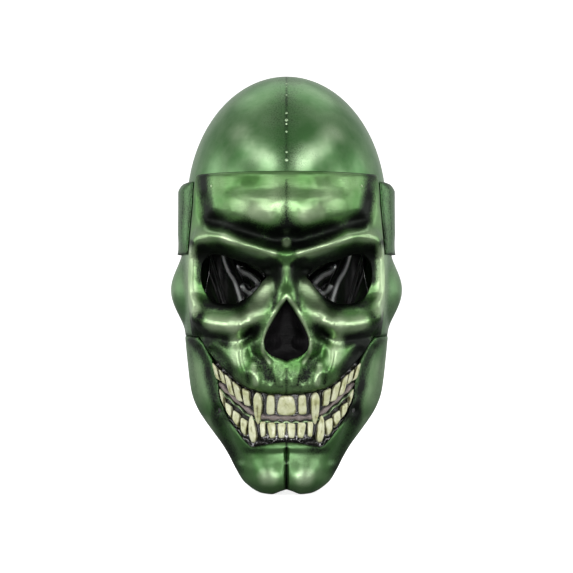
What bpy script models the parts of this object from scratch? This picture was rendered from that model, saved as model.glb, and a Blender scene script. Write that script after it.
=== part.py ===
"""Skull mask for a whole head, moulded in thin shells, with a set of separate teeth.

Metres, +Z up. The face looks along -Y and the mask is the same on both sides of X = 0.
It stands upright on its chin and on the nape rim, with the origin on that surface below its middle.
"""

import math

import bmesh
import bpy
from mathutils import Vector

# Cranium
CROWN_HALF_WIDTH = 0.0825
CROWN_HALF_LENGTH = 0.104
CROWN_BASE = 0.230
CROWN_RISE = 0.107
CROWN_SETBACK = 0.0065
EAR_HEIGHT = 0.159
EAR_RADIUS = 0.033
EAR_SWELL = 0.0085

# Walls and clearances
HOOD_WALL = 0.0025
FACE_WALL = 0.0025
JAW_WALL = 0.0025
FACE_STANDOFF = 0.0033
FIT_GAP = 0.0004

# Where the shells end
FACE_TOP = 0.253
FACE_EDGE_DEPTH = 0.0415
FACE_LAP_SIDE = 0.006
FACE_LAP_TOP = 0.013
FACE_SIDE_RUN = 0.024
JAW_TOP = 0.1222
NECK_ARCH_REAR = 0.058
NECK_ARCH_FRONT = 0.012

# Relief of the face
RELIEF = 0.010
EYE_CENTRE = (0.0425, 0.1685)
EYE_HALF_SIZE = (0.026, 0.0197)
NOSE_TOP = 0.153
NOSE_HEIGHT = 0.048
NOSE_HALF_WIDTH = 0.0172
NOSE_DEPTH = 0.010
NOSTRIL_PLACE = (0.0100, 0.0144)
NOSTRIL_RADIUS = 0.0070
NOSTRIL_SWELL = 0.0040

# Jaw, mouth and teeth: their depths keep to the cranium's, the widths to the mouth's
MOUTH_HALF_WIDTH = 0.070
MOUTH_TOP = 0.121
MOUTH_FLOOR = 0.038
JAW_HALF_WIDTH = 1.2 * MOUTH_HALF_WIDTH
JAW_REACH = 0.962 * CROWN_HALF_LENGTH
JAW_ROUND_SHARE = 0.86
CLEFT_RISE = 0.0050
CLEFT_REACH = 0.012
CLEFT_FADE = 0.024
ARCH_HALF_WIDTH = 1.017 * MOUTH_HALF_WIDTH
ARCH_REACH = 0.683 * CROWN_HALF_LENGTH
ARCH_SETBACK = 0.1635 * CROWN_HALF_LENGTH
ARCH_ROUND_SHARE = 0.97
GUM_WALL = 0.004
GUM_LAP = 0.003
STRIP_HEIGHT = 0.0056
STRIP_THICKNESS = 0.0018
TOOTH_LENGTH = 0.0145
TOOTH_WIDTH = 0.0065
TOOTH_DEPTH = 0.0056
TOOTH_TIP_DEPTH = 0.0042
TOOTH_CHAMFER = 0.0013

# Side pads and lining
PAD_HALF_SPAN = 0.0898
PAD_FRONT = -0.036
PAD_MIDDLE = 0.004
PAD_REAR = 0.052
PAD_FOOT = 0.183
PAD_TOP = 0.248
PAD_EDGE = 0.0018
LINING_WALL = 0.0012
LINING_FOLD = 0.008
LINING_FOOT = 0.118
LINING_TOP = 0.235
LINING_SWEEP = math.radians(118)

# Head below the cranium, each length as a share: height of CROWN_BASE, half-width of
# CROWN_HALF_WIDTH, half-length of CROWN_HALF_LENGTH, setback of CROWN_SETBACK.
HEAD_SECTIONS = (
    # height, half_width, half_length, setback
    (-0.06, 0.42, 0.79, 0.0),
    (0.00, 0.49, 0.80, 0.0),
    (0.13, 0.66, 0.82, 0.0),
    (0.26, 0.81, 0.84, 0.1),
    (0.43, 0.95, 0.88, 0.2),
    (0.55, 1.02, 0.92, 0.4),
    (0.70, 1.06, 0.96, 0.7),
    (0.83, 1.05, 0.98, 0.9),
    (0.91, 1.03, 0.99, 1.0),
    (1.00, 1.00, 1.00, 1.0),
)

# Jaw from its pole under the chin to its top: height as a share of JAW_TOP, half-width of
# JAW_HALF_WIDTH, and centre, front and rear end as shares of JAW_REACH before the ears.
JAW_SECTIONS = (
    # height, half_width, centre, front, rear
    (0.000, 0.02, 0.77, 0.79, 0.76),
    (0.002, 0.21, 0.71, 0.89, 0.62),
    (0.012, 0.28, 0.68, 0.93, 0.58),
    (0.033, 0.34, 0.65, 0.96, 0.55),
    (0.070, 0.41, 0.60, 0.99, 0.50),
    (0.147, 0.485, 0.54, 1.00, 0.44),
    (0.221, 0.545, 0.48, 0.99, 0.38),
    (0.295, 0.615, 0.42, 0.98, 0.31),
    (0.368, 0.70, 0.35, 0.975, 0.24),
    (0.442, 0.785, 0.28, 0.97, 0.18),
    (0.516, 0.86, 0.21, 0.96, 0.11),
    (0.597, 0.915, 0.14, 0.95, 0.05),
    (0.680, 0.943, 0.10, 0.94, 0.00),
    (0.843, 0.974, 0.05, 0.93, -0.06),
    (1.020, 1.000, 0.03, 0.93, -0.10),
)

# Mouth edges: share of MOUTH_HALF_WIDTH, and share of the rise from MOUTH_FLOOR to MOUTH_TOP.
MOUTH_UPPER = (
    # across, up
    (0.00, 0.486),
    (0.20, 0.494),
    (0.33, 0.513),
    (0.45, 0.542),
    (0.55, 0.590),
    (0.66, 0.667),
    (0.76, 0.749),
    (0.86, 0.836),
    (0.95, 0.942),
    (1.00, 1.000),
)
MOUTH_LOWER = (
    # across, up
    (0.00, 0.046),
    (0.16, 0.034),
    (0.29, 0.012),
    (0.39, 0.000),
    (0.46, 0.050),
    (0.53, 0.114),
    (0.60, 0.193),
    (0.69, 0.290),
    (0.74, 0.383),
    (0.77, 0.490),
    (0.80, 0.620),
    (0.85, 0.775),
    (0.92, 0.893),
    (1.00, 1.000),
)
BITE_LINE = (
    # across, up
    (0.00, 0.269),
    (0.22, 0.271),
    (0.33, 0.292),
    (0.43, 0.335),
    (0.51, 0.395),
    (0.60, 0.458),
    (0.71, 0.542),
    (0.78, 0.596),
)

# Outline of the right eye, as shares of EYE_HALF_SIZE from EYE_CENTRE.
EYE_OUTLINE = (
    # across, up
    (0.96, 0.70),
    (0.74, 0.97),
    (0.42, 1.00),
    (-0.06, 0.79),
    (-0.55, 0.58),
    (-1.00, 0.18),
    (-0.92, -0.06),
    (-0.58, -0.58),
    (-0.31, -0.82),
    (0.00, -0.98),
    (0.48, -0.92),
    (0.78, -0.68),
    (0.98, -0.16),
    (1.00, 0.32),
)

# Right half of the nose opening, as shares of NOSE_HALF_WIDTH, and of NOSE_HEIGHT below NOSE_TOP.
NOSE_OUTLINE = (
    # across, down
    (0.00, 0.00),
    (0.18, 0.10),
    (0.37, 0.21),
    (0.61, 0.35),
    (0.85, 0.50),
    (1.00, 0.66),
    (0.97, 0.79),
    (0.84, 0.87),
    (0.56, 0.93),
    (0.28, 0.96),
    (0.00, 1.00),
)

# Ridges (+) and hollows (-) of the face, mirrored to both sides. Places are shares of
# CROWN_HALF_WIDTH across and CROWN_BASE up, reach of CROWN_HALF_WIDTH, height of RELIEF.
# A larger edge number makes a flatter top with steeper sides.
FACE_STROKES = (
    # name, places, reach, height, edge
    ("forehead", ((0.00, 0.99), (0.40, 1.00)), 0.36, 0.50, 2),
    ("brow groove", ((0.0, 0.872), (0.19, 0.877), (0.335, 0.901), (0.477, 0.921)), 0.12, -0.60, 2),
    ("temple dent", ((0.50, 0.925), (0.61, 0.955), (0.69, 0.99), (0.73, 1.03)), 0.12, -0.55, 2),
    ("inner brow", ((0.00, 0.822), (0.135, 0.825), (0.226, 0.828), (0.330, 0.840)), 0.13, 0.75, 2),
    ("outer brow", ((0.433, 0.852), (0.527, 0.872), (0.64, 0.894), (0.775, 0.891)), 0.12, 0.65, 2),
    ("brow end", ((0.86, 0.885), (0.93, 0.862)), 0.12, 0.35, 2),
    ("socket", ((0.36, 0.725), (0.56, 0.735), (0.70, 0.745)), 0.325, -1.95, 4),
    ("socket corner", ((0.20, 0.770), (0.34, 0.735)), 0.13, -1.00, 2),
    ("nose bridge", ((0.00, 0.80), (0.00, 0.70)), 0.11, 0.45, 2),
    ("nose bone", ((0.00, 0.72), (0.00, 0.67)), 0.16, 0.70, 2),
    ("nose side", ((0.12, 0.66), (0.22, 0.56), (0.25, 0.48)), 0.13, 0.35, 2),
    ("orbit rim", ((0.97, 0.80), (0.99, 0.72), (0.96, 0.66)), 0.13, 0.35, 2),
    ("cheekbone", ((0.88, 0.615), (0.75, 0.600), (0.60, 0.590), (0.45, 0.585)), 0.14, 0.75, 2),
    ("inner cheek", ((0.36, 0.600), (0.28, 0.640), (0.21, 0.690)), 0.13, 0.50, 2),
    ("cheek hollow", ((0.80, 0.530), (0.62, 0.515), (0.45, 0.520), (0.34, 0.535)), 0.12, -0.55, 2),
    ("upper jaw", ((0.00, 0.385), (0.26, 0.390), (0.40, 0.40), (0.52, 0.425)), 0.20, 0.55, 2),
    ("cheek pillar", ((0.47, 0.505), (0.41, 0.430)), 0.09, 0.40, 2),
    ("pillar groove", ((0.69, 0.485), (0.61, 0.452), (0.52, 0.410)), 0.08, -0.40, 2),
    ("fang root", ((0.31, 0.46), (0.28, 0.37)), 0.07, 0.35, 2),
    ("root groove", ((0.20, 0.455), (0.16, 0.395)), 0.06, -0.25, 2),
    ("nose spine", ((0.00, 0.44), (0.00, 0.40)), 0.10, 0.15, 2),
)

# Ridges and hollows of the jaw. Places are shares of JAW_HALF_WIDTH across and JAW_TOP up,
# reach of JAW_HALF_WIDTH, height of RELIEF.
JAW_STROKES = (
    # name, places, reach, height, edge
    ("corner groove", ((0.82, 0.93), (0.745, 0.81), (0.66, 0.64), (0.635, 0.53)), 0.06, -0.30, 2),
    ("chin groove", ((0.62, 0.50), (0.59, 0.44), (0.53, 0.32), (0.47, 0.24)), 0.07, -0.30, 2),
    ("lower gum", ((0.00, 0.30), (0.25, 0.29), (0.40, 0.33), (0.53, 0.42)), 0.10, 0.25, 2),
    ("chin hollow", ((0.00, 0.23), (0.35, 0.22)), 0.12, -0.35, 2),
    ("chin lobe", ((0.18, 0.12), (0.18, 0.03)), 0.17, 0.45, 2),
    ("cleft", ((0.00, 0.29), (0.00, 0.16), (0.00, 0.00)), 0.05, -0.50, 2),
)

# Crushed folds of the lining, mirrored: shares of CROWN_HALF_WIDTH across and CROWN_BASE up.
LINING_STROKES = (
    # name, places, reach, height, edge
    ("long fold", ((0.70, 0.86), (0.66, 0.80), (0.56, 0.73), (0.46, 0.65), (0.44, 0.58)), 0.08, 1.0, 2),
    ("upper fold", ((0.49, 0.78), (0.40, 0.745), (0.30, 0.72), (0.20, 0.70)), 0.07, 0.9, 2),
    ("lower fold", ((0.28, 0.72), (0.34, 0.69), (0.42, 0.66), (0.52, 0.66)), 0.06, 0.7, 2),
    ("outer fold", ((0.90, 0.84), (0.82, 0.73), (0.72, 0.63), (0.62, 0.55)), 0.09, 0.7, 2),
    ("nape fold", ((0.00, 0.96), (0.08, 0.80), (0.06, 0.62)), 0.09, 0.8, 2),
)

# Teeth, mirrored unless they stand in the middle. Place as a share of MOUTH_HALF_WIDTH, lift
# from the mouth edge, length and the tip's lean outwards as shares of TOOTH_LENGTH, widths as
# shares of TOOTH_WIDTH.
UPPER_TEETH = (
    # name, across, lift, length, root_width, tip_width, lean
    ("upper_incisor", 0.000, 0.12, 0.98, 1.74, 2.34, 0.00),
    ("upper_lateral", 0.175, 0.08, 1.02, 0.92, 1.06, 0.04),
    ("upper_fang", 0.318, 0.06, 1.69, 1.15, 0.22, 0.05),
    ("upper_molar_1", 0.444, 0.10, 0.82, 0.92, 0.80, -0.06),
    ("upper_molar_2", 0.543, 0.12, 0.80, 0.90, 0.80, -0.17),
    ("upper_molar_3", 0.632, 0.14, 0.80, 0.76, 0.70, -0.20),
    ("upper_molar_4", 0.712, 0.16, 0.54, 0.56, 0.58, -0.10),
    ("upper_molar_5", 0.786, 0.20, 0.66, 0.50, 0.54, -0.16),
)
LOWER_TEETH = (
    # name, across, lift, length, root_width, tip_width, lean
    ("lower_incisor_1", 0.054, 0.21, 0.81, 0.64, 0.98, 0.00),
    ("lower_incisor_2", 0.161, 0.25, 0.85, 0.66, 1.00, 0.10),
    ("lower_incisor_3", 0.261, 0.41, 0.83, 0.52, 0.70, 0.06),
    ("lower_fang", 0.381, 0.20, 1.45, 1.00, 0.20, 0.18),
    ("lower_molar_1", 0.474, 0.24, 0.86, 0.50, 0.86, -0.02),
    ("lower_molar_2", 0.562, 0.22, 0.74, 0.54, 0.86, -0.05),
    ("lower_molar_3", 0.644, 0.22, 0.62, 0.56, 0.78, 0.08),
    ("lower_molar_4", 0.722, 0.30, 0.56, 0.38, 0.42, 0.08),
)

FINISHES = {
    # slot: colour, roughness, metallic
    "green_shell": ((0.060, 0.260, 0.070, 1.0), 0.32, 0.80),
    "green_face": ((0.090, 0.330, 0.080, 1.0), 0.28, 0.85),
    "tooth_ivory": ((0.560, 0.520, 0.330, 1.0), 0.35, 0.00),
    "gum_black": ((0.012, 0.012, 0.012, 1.0), 0.25, 0.00),
    "bite_grey": ((0.180, 0.150, 0.140, 1.0), 0.40, 0.00),
    "lining_black": ((0.010, 0.010, 0.011, 1.0), 0.12, 0.00),
}

HOOD_COLUMNS = 40
HOOD_ROWS = 20
CROWN_SHARE = 0.35
FACE_COLUMNS = 34
FACE_ROWS = 26
JAW_COLUMNS = 30
MIRRORED = (("left", -1), ("right", 1))


def read_table(rows, key):
    """The values of a table at this key, on a smooth curve through its rows."""
    if key <= rows[0][0]:
        return rows[0][1:]
    if key >= rows[-1][0]:
        return rows[-1][1:]
    after = next(i for i, row in enumerate(rows) if row[0] >= key)
    low, high = rows[after - 1], rows[after]
    before, beyond = rows[max(after - 2, 0)], rows[min(after + 1, len(rows) - 1)]
    span = high[0] - low[0]
    t = (key - low[0]) / span
    values = []
    for k in range(1, len(low)):
        slope_low = span * (high[k] - before[k]) / (high[0] - before[0])
        slope_high = span * (beyond[k] - low[k]) / (beyond[0] - low[0])
        steps = 3 * (high[k] - low[k]) - 2 * slope_low - slope_high
        bend = slope_low + slope_high - 2 * (high[k] - low[k])
        values.append(low[k] + t * (slope_low + t * (steps + t * bend)))
    return tuple(values)


def mix(start, end, share):
    return start + (end - start) * share


def swell(share, edge=2):
    """A rounded bump: 1 in its middle, 0 from a share of 1 outwards."""
    return (1 - share**edge) ** 2 if share < 1 else 0.0


def distance_to_segment(x, z, start, end):
    dx, dz = end[0] - start[0], end[1] - start[1]
    along = ((x - start[0]) * dx + (z - start[1]) * dz) / max(dx * dx + dz * dz, 1e-12)
    along = min(max(along, 0.0), 1.0)
    return math.hypot(x - start[0] - along * dx, z - start[1] - along * dz)


def relief(strokes, x, z, across, up, height):
    """Sum of the strokes at a place in the front view, in metres."""
    total = 0.0
    for _, places, reach, lift, edge in strokes:
        line = [(share_x * across, share_z * up) for share_x, share_z in places]
        near = min(distance_to_segment(abs(x), z, a, b) for a, b in zip(line, line[1:]))
        total += lift * height * swell(near / (reach * across), edge)
    return total


def head_section(height):
    """Half-width, half-length and centre of the head's outline at this height."""
    if height >= CROWN_BASE:
        rise = min((height - CROWN_BASE) / CROWN_RISE, 1.0)
        k = math.sqrt(max(1 - rise * rise, 0.0))
        return CROWN_HALF_WIDTH * k, CROWN_HALF_LENGTH * k, CROWN_SETBACK
    width, length, setback = read_table(HEAD_SECTIONS, height / CROWN_BASE)
    return width * CROWN_HALF_WIDTH, length * CROWN_HALF_LENGTH, setback * CROWN_SETBACK


def head_point(angle, height, lift=0.0):
    """A point of the head's surface, with the angle from the front towards +X."""
    width, length, centre = head_section(height)
    x, y = width * math.sin(angle), centre - length * math.cos(angle)
    outward = Vector((math.sin(angle) / max(width, 1e-6), -math.cos(angle) / max(length, 1e-6), 0.0))
    outward.normalize()
    from_ear = math.hypot(height - EAR_HEIGHT, y) / EAR_RADIUS
    return Vector((x, y, height)) + outward * (EAR_SWELL * swell(from_ear) + lift)


def edge_angle(height, depth):
    """Angle from the front at which the head's surface lies at this depth before the ears."""
    _, length, centre = head_section(height)
    return math.acos(min(max((depth + centre) / length, -1.0), 1.0))


def mouth_height(edge, x):
    (up,) = read_table(edge, abs(x) / MOUTH_HALF_WIDTH)
    return mix(MOUTH_FLOOR, MOUTH_TOP, up)


def face_front(x, z):
    """How far the face stands before the ears' plane, at a place in the front view."""
    width, length, centre = head_section(z)
    width, length = width + FACE_STANDOFF, length + FACE_STANDOFF
    share = min(abs(x) / width, 0.999)
    base = length * math.sqrt(1 - share * share) - centre
    return base + relief(FACE_STROKES, x, z, CROWN_HALF_WIDTH, CROWN_BASE, RELIEF)


def face_foot(x):
    """Height of the face's lower edge, over the mouth and then level to the jaw's top."""
    if abs(x) < MOUTH_HALF_WIDTH:
        return mouth_height(MOUTH_UPPER, x)
    return JAW_TOP + FIT_GAP


def held_relief(lift, depth, height):
    """Relief kept off the hood: it fades where the face laps it, and hollows stop before it."""
    inside = min(
        (depth - FACE_EDGE_DEPTH - 0.5 * FACE_LAP_SIDE) / FACE_LAP_TOP,
        (FACE_TOP - 0.8 * FACE_LAP_TOP - height) / FACE_LAP_TOP,
    )
    inside = min(max(inside, 0.0), 1.0)
    lift *= inside * inside * (3 - 2 * inside)
    room = max(depth - FACE_EDGE_DEPTH - FACE_LAP_SIDE - 1.6 * FACE_WALL, FIT_GAP)
    return lift if lift > 0 else -room * math.tanh(-lift / room)


def face_surface(across, height):
    """A point of the face's outer surface, across from -1 to 1 between its side edges."""
    base = head_point(across * edge_angle(height, FACE_EDGE_DEPTH), height, FACE_STANDOFF)
    lift = relief(FACE_STROKES, base.x, height, CROWN_HALF_WIDTH, CROWN_BASE, RELIEF)
    lift = held_relief(lift, -base.y, height)
    sideways = max(abs(base.x) - CROWN_HALF_WIDTH + FACE_SIDE_RUN, 0.0) / (2 * FACE_SIDE_RUN)
    push = Vector((math.copysign(sideways, base.x), -1.0, 0.0)).normalized()
    return base + push * lift


def face_point(across, up):
    """A point of the face, up from 0 at its lower edge to 1 at its top."""
    x = across * MOUTH_HALF_WIDTH
    for _ in range(6):
        foot = face_foot(x)
        x = face_surface(across, foot).x
    return face_surface(across, mix(foot, FACE_TOP, up))


def jaw_point(across, height):
    """A point of the jaw's outer surface: a half ellipse round the front, then straight sides."""
    width, centre, front, rear = read_table(JAW_SECTIONS, height / JAW_TOP)
    width, centre = width * JAW_HALF_WIDTH, centre * JAW_REACH
    front, rear = front * JAW_REACH, rear * JAW_REACH
    if abs(across) <= JAW_ROUND_SHARE:
        angle = across / JAW_ROUND_SHARE * math.pi / 2
        x, reach = width * math.sin(angle), centre + (front - centre) * math.cos(angle)
    else:
        x = math.copysign(width, across)
        reach = mix(centre, rear, (abs(across) - JAW_ROUND_SHARE) / (1 - JAW_ROUND_SHARE))
    lift = relief(JAW_STROKES, x, height, JAW_HALF_WIDTH, JAW_TOP, RELIEF)
    facing = max(reach - centre, 0.0) / max(front - centre, 1e-6)
    rise = CLEFT_RISE * swell(abs(x) / CLEFT_REACH) * max(1 - height / CLEFT_FADE, 0.0) ** 2
    return Vector((x, -reach - lift * facing, height + rise))


def arch_point(x, z, lift=0.0):
    """A point on the front of the gums, lifted outwards, and the outward direction there."""
    share = min(abs(x) / ARCH_HALF_WIDTH, 0.995)
    reach = ARCH_SETBACK + ARCH_REACH * math.sqrt(1 - share * share)
    slope = Vector((x / ARCH_HALF_WIDTH**2, -(reach - ARCH_SETBACK) / ARCH_REACH**2, 0.0))
    outward = slope.normalized()
    return Vector((x, -reach, z)) + outward * lift, outward


def object_from(bm, name, slot, parent):
    mesh = bpy.data.meshes.new(name)
    bm.to_mesh(mesh)
    bm.free()
    mesh.shade_smooth()
    obj = bpy.data.objects.new(name, mesh)
    bpy.context.scene.collection.objects.link(obj)
    obj.parent = parent
    if slot:
        mesh.materials.append(finish(slot))
    return obj


def finish(slot):
    """The material of this slot, made once."""
    material = bpy.data.materials.get(slot)
    if material:
        return material
    colour, roughness, metallic = FINISHES[slot]
    material = bpy.data.materials.new(slot)
    material.use_nodes = True
    shader = material.node_tree.nodes["Principled BSDF"]
    shader.inputs["Base Color"].default_value = colour
    shader.inputs["Roughness"].default_value = roughness
    shader.inputs["Metallic"].default_value = metallic
    return material


def shaped_grid(columns, rows, place, outward):
    """A sheet of columns by rows faces, placed by a function of (across, up) from -1 to 1."""
    bm = bmesh.new()
    bmesh.ops.create_grid(bm, x_segments=columns, y_segments=rows, size=1.0)
    for vert in bm.verts:
        vert.co = place(vert.co.x, vert.co.y)
    bmesh.ops.remove_doubles(bm, verts=bm.verts, dist=1e-5)
    bmesh.ops.recalc_face_normals(bm, faces=bm.faces)
    bm.faces.ensure_lookup_table()
    middle = bm.faces[len(bm.faces) // 2]
    if middle.normal.dot(outward(middle.calc_center_median())) < 0:
        bmesh.ops.reverse_faces(bm, faces=bm.faces)
    return bm


def away_from_middle(point):
    return Vector((point.x, point.y, 0.0))


def add_wall(obj, thickness):
    wall = obj.modifiers.new("Wall", "SOLIDIFY")
    wall.thickness = thickness
    wall.offset = -1.0
    return wall


def add_boolean(obj, cutter, operation="DIFFERENCE"):
    cut = obj.modifiers.new(cutter.name, "BOOLEAN")
    cut.operation = operation
    cut.solver = "EXACT"
    cut.object = cutter


def prism(name, outline, start, end, along, parent):
    """A hidden cutter: an outline in the front view (along Y) or the side view (along X)."""
    bm = bmesh.new()
    if along == "Y":
        verts = [bm.verts.new((a, start, b)) for a, b in outline]
        sweep = Vector((0.0, end - start, 0.0))
    else:
        verts = [bm.verts.new((start, a, b)) for a, b in outline]
        sweep = Vector((end - start, 0.0, 0.0))
    face = bm.faces.new(verts)
    made = bmesh.ops.extrude_face_region(bm, geom=[face])["geom"]
    bmesh.ops.translate(bm, verts=[v for v in made if isinstance(v, bmesh.types.BMVert)], vec=sweep)
    bmesh.ops.recalc_face_normals(bm, faces=bm.faces)
    obj = object_from(bm, name, None, parent)
    obj.hide_render = True
    obj.display_type = "WIRE"
    return obj


def grown(outline, by):
    """A closed outline moved outwards by this distance."""
    count = len(outline)
    area = sum(
        outline[i][0] * outline[(i + 1) % count][1] - outline[(i + 1) % count][0] * outline[i][1]
        for i in range(count)
    )
    turn = 1 if area > 0 else -1
    moved = []
    for i, (x, z) in enumerate(outline):
        before, after = outline[i - 1], outline[(i + 1) % count]
        dx, dz = after[0] - before[0], after[1] - before[1]
        length = math.hypot(dx, dz)
        moved.append((x + turn * dz / length * by, z - turn * dx / length * by))
    return moved


def eye_outline(side):
    points = [
        (side * (EYE_CENTRE[0] + x * EYE_HALF_SIZE[0]), EYE_CENTRE[1] + z * EYE_HALF_SIZE[1])
        for x, z in EYE_OUTLINE
    ]
    return points[::side]


def nose_outline():
    right = [(x * NOSE_HALF_WIDTH, NOSE_TOP - z * NOSE_HEIGHT) for x, z in NOSE_OUTLINE]
    return right + [(-x, z) for x, z in right[-2:0:-1]]


def mouth_outline():
    """The whole mouth, along its lower edge to the right and back along its upper edge."""
    steps = [i / 14 for i in range(15)]
    lower = [(s * MOUTH_HALF_WIDTH, mouth_height(MOUTH_LOWER, s * MOUTH_HALF_WIDTH)) for s in steps]
    upper = [(s * MOUTH_HALF_WIDTH, mouth_height(MOUTH_UPPER, s * MOUTH_HALF_WIDTH)) for s in steps]
    right = lower + upper[-2::-1]
    return right + [(-x, z) for x, z in upper[1:]] + [(-x, z) for x, z in lower[-2:0:-1]]


def make_hood(parent):
    """The smooth cranium, sides and nape, open before the face and at the neck."""
    foot = HEAD_SECTIONS[0][0] * CROWN_BASE

    def place(across, up):
        share = (up + 1) / 2
        if share < 1 - CROWN_SHARE:
            height = mix(foot, CROWN_BASE, share / (1 - CROWN_SHARE))
        else:
            rise = (share - 1 + CROWN_SHARE) / CROWN_SHARE * math.pi / 2
            height = CROWN_BASE + CROWN_RISE * math.sin(rise)
        return head_point(across * math.pi, height)

    bm = shaped_grid(HOOD_COLUMNS, HOOD_ROWS, place, away_from_middle)
    hood = object_from(bm, "hood", "green_shell", parent)
    add_wall(hood, HOOD_WALL)
    far = 2 * CROWN_HALF_LENGTH
    front = -FACE_EDGE_DEPTH - FACE_LAP_SIDE
    top = FACE_TOP - FACE_LAP_TOP
    seat = JAW_TOP + FIT_GAP
    arch = [(mix(NECK_ARCH_FRONT, NECK_ARCH_REAR, math.sin(a)), seat * math.cos(a)) for a in
            (math.radians(degrees) for degrees in range(0, 91, 15))]
    outline = [(-far, top), (front - 0.008, top), (front - 0.002, top - 0.003), (front, top - 0.010)]
    outline += [(front, seat)] + arch + [(far, 0.0), (far, -far), (-far, -far)]
    add_boolean(hood, prism("hood_opening", outline, -far, far, "X", parent))
    return hood


def make_face(parent):
    """The skull face from the forehead's edge to the upper gum, with open eyes and nose."""
    bm = shaped_grid(
        FACE_COLUMNS, FACE_ROWS, lambda across, up: face_point(across, (up + 1) / 2), away_from_middle
    )
    face = object_from(bm, "face_plate", "green_face", parent)
    add_wall(face, FACE_WALL)
    far = 2 * CROWN_HALF_LENGTH
    for label, side in MIRRORED:
        add_boolean(face, prism(f"eye_hole_{label}", eye_outline(side), -far, 0.0, "Y", parent))
    add_boolean(face, prism("nose_hole", nose_outline(), -far, 0.0, "Y", parent))
    return face


def make_jaw(parent):
    """The lower jaw with its two chin lobes and the side plates up to the ears."""
    heights = [share * JAW_TOP for share, *_ in JAW_SECTIONS]
    last = len(heights) - 1

    def place(across, up):
        return jaw_point(across, heights[round((up + 1) / 2 * last)])

    jaw = object_from(
        shaped_grid(JAW_COLUMNS, last, place, away_from_middle), "jaw", "green_shell", parent
    )
    add_wall(jaw, JAW_WALL)
    far = 2 * CROWN_HALF_LENGTH
    steps = [i / 14 for i in range(15)]
    lower = [(s * MOUTH_HALF_WIDTH, mouth_height(MOUTH_LOWER, s * MOUTH_HALF_WIDTH)) for s in steps]
    lower[-1] = (MOUTH_HALF_WIDTH + GUM_LAP, JAW_TOP)
    right = lower + [(far, JAW_TOP), (far, far)]
    outline = right + [(-x, z) for x, z in right[:0:-1]]
    add_boolean(jaw, prism("mouth_hole", outline, -far, far, "Y", parent))
    return jaw


def make_gums(parent):
    """The black gum plate behind the mouth, with a channel for the bite strip."""
    reach = MOUTH_HALF_WIDTH + GUM_LAP
    low, high = MOUTH_FLOOR - 2 * GUM_LAP, MOUTH_TOP + 2 * GUM_LAP

    def place(across, up):
        x = ARCH_HALF_WIDTH * math.sin(across * math.pi / 2 * ARCH_ROUND_SHARE)
        return arch_point(x, mix(low, high, (up + 1) / 2))[0]

    gums = object_from(shaped_grid(20, 2, place, away_from_middle), "gum_plate", "gum_black", parent)
    add_wall(gums, GUM_WALL)
    outline = grown(mouth_outline(), GUM_LAP)
    outline = [(max(min(x, reach), -reach), min(z, MOUTH_TOP + GUM_LAP)) for x, z in outline]
    far = 2 * CROWN_HALF_LENGTH
    add_boolean(gums, prism("gum_outline", outline, -far, 0.0, "Y", parent), "INTERSECT")
    channel = make_strip("bite_channel", FIT_GAP, parent)
    channel.hide_render = True
    channel.display_type = "WIRE"
    add_boolean(gums, channel)
    make_strip("bite_strip", 0.0, parent)
    return gums


def make_strip(name, clearance, parent):
    """The grey strip between the two rows of teeth, or with a clearance the channel for it."""
    half = STRIP_HEIGHT / 2 + clearance
    reach = BITE_LINE[-1][0] * MOUTH_HALF_WIDTH + clearance
    lift = GUM_WALL if clearance else 0.0

    def place(across, up):
        x = reach * math.sin(across * math.pi / 2)
        return arch_point(x, mouth_height(BITE_LINE, x) + up * half, lift)[0]

    strip = object_from(shaped_grid(20, 1, place, away_from_middle), name, "bite_grey", parent)
    add_wall(strip, STRIP_THICKNESS + lift + clearance)
    return strip


def make_tooth(name, x, ends, widths, lean, parent):
    """A tapered tooth with chamfered edges on the gums, its middle at this x.

    ends gives the heights of the root and the tip at a place across, widths those of both.
    """
    _, leaning = arch_point(x, 0.0)
    base, outward = arch_point(x - leaning.x * TOOTH_DEPTH / 2, 0.0, FIT_GAP)
    sideways = Vector((-outward.y, outward.x, 0.0))
    stretch = 1 / abs(outward.y)
    root_width, tip_width = widths
    tip_depth = TOOTH_TIP_DEPTH * min(1.5 * tip_width / root_width, 1.0)
    bm = bmesh.new()
    bmesh.ops.create_cube(bm, size=1.0)
    for vert in bm.verts:
        at_tip = vert.co.z > 0
        width = tip_width if at_tip else root_width
        depth = tip_depth if at_tip else TOOTH_DEPTH
        across = (vert.co.x * width + vert.co.z * lean) * stretch
        place = base + sideways * across + outward * ((0.5 - vert.co.y) * depth)
        place.z = ends(place.x)[1 if at_tip else 0]
        vert.co = place
    bmesh.ops.recalc_face_normals(bm, faces=bm.faces)
    front = [e for e in bm.edges if all((v.co - base).dot(outward) > FIT_GAP for v in e.verts)]
    bmesh.ops.bevel(
        bm,
        geom=front,
        offset=min(tip_width / 4, TOOTH_CHAMFER),
        segments=1,
        affect="EDGES",
        profile=0.5,
        material=-1,
    )
    bmesh.ops.recalc_face_normals(bm, faces=bm.faces)
    return object_from(bm, name, "tooth_ivory", parent)


def make_teeth(parent):
    """Both rows: each root follows the mouth's edge, each tip half of its slope."""
    for rows, edge, turn in ((UPPER_TEETH, MOUTH_UPPER, -1), (LOWER_TEETH, MOUTH_LOWER, 1)):
        for name, across, lift, length, root_width, tip_width, lean in rows:
            middle = across * MOUTH_HALF_WIDTH
            start = mouth_height(edge, middle)

            def ends(x, edge=edge, turn=turn, lift=lift, length=length, start=start):
                rise = mouth_height(edge, x) - start
                root = start + rise + turn * lift * TOOTH_LENGTH
                return root, start + rise / 2 + turn * (lift + length) * TOOTH_LENGTH

            widths = (root_width * TOOTH_WIDTH, tip_width * TOOTH_WIDTH)
            if across == 0:
                make_tooth(name, 0.0, ends, widths, 0.0, parent)
                continue
            for label, side in MIRRORED:
                lean_out = side * lean * TOOTH_LENGTH
                make_tooth(f"{name}_{label}", side * middle, ends, widths, lean_out, parent)


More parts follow.
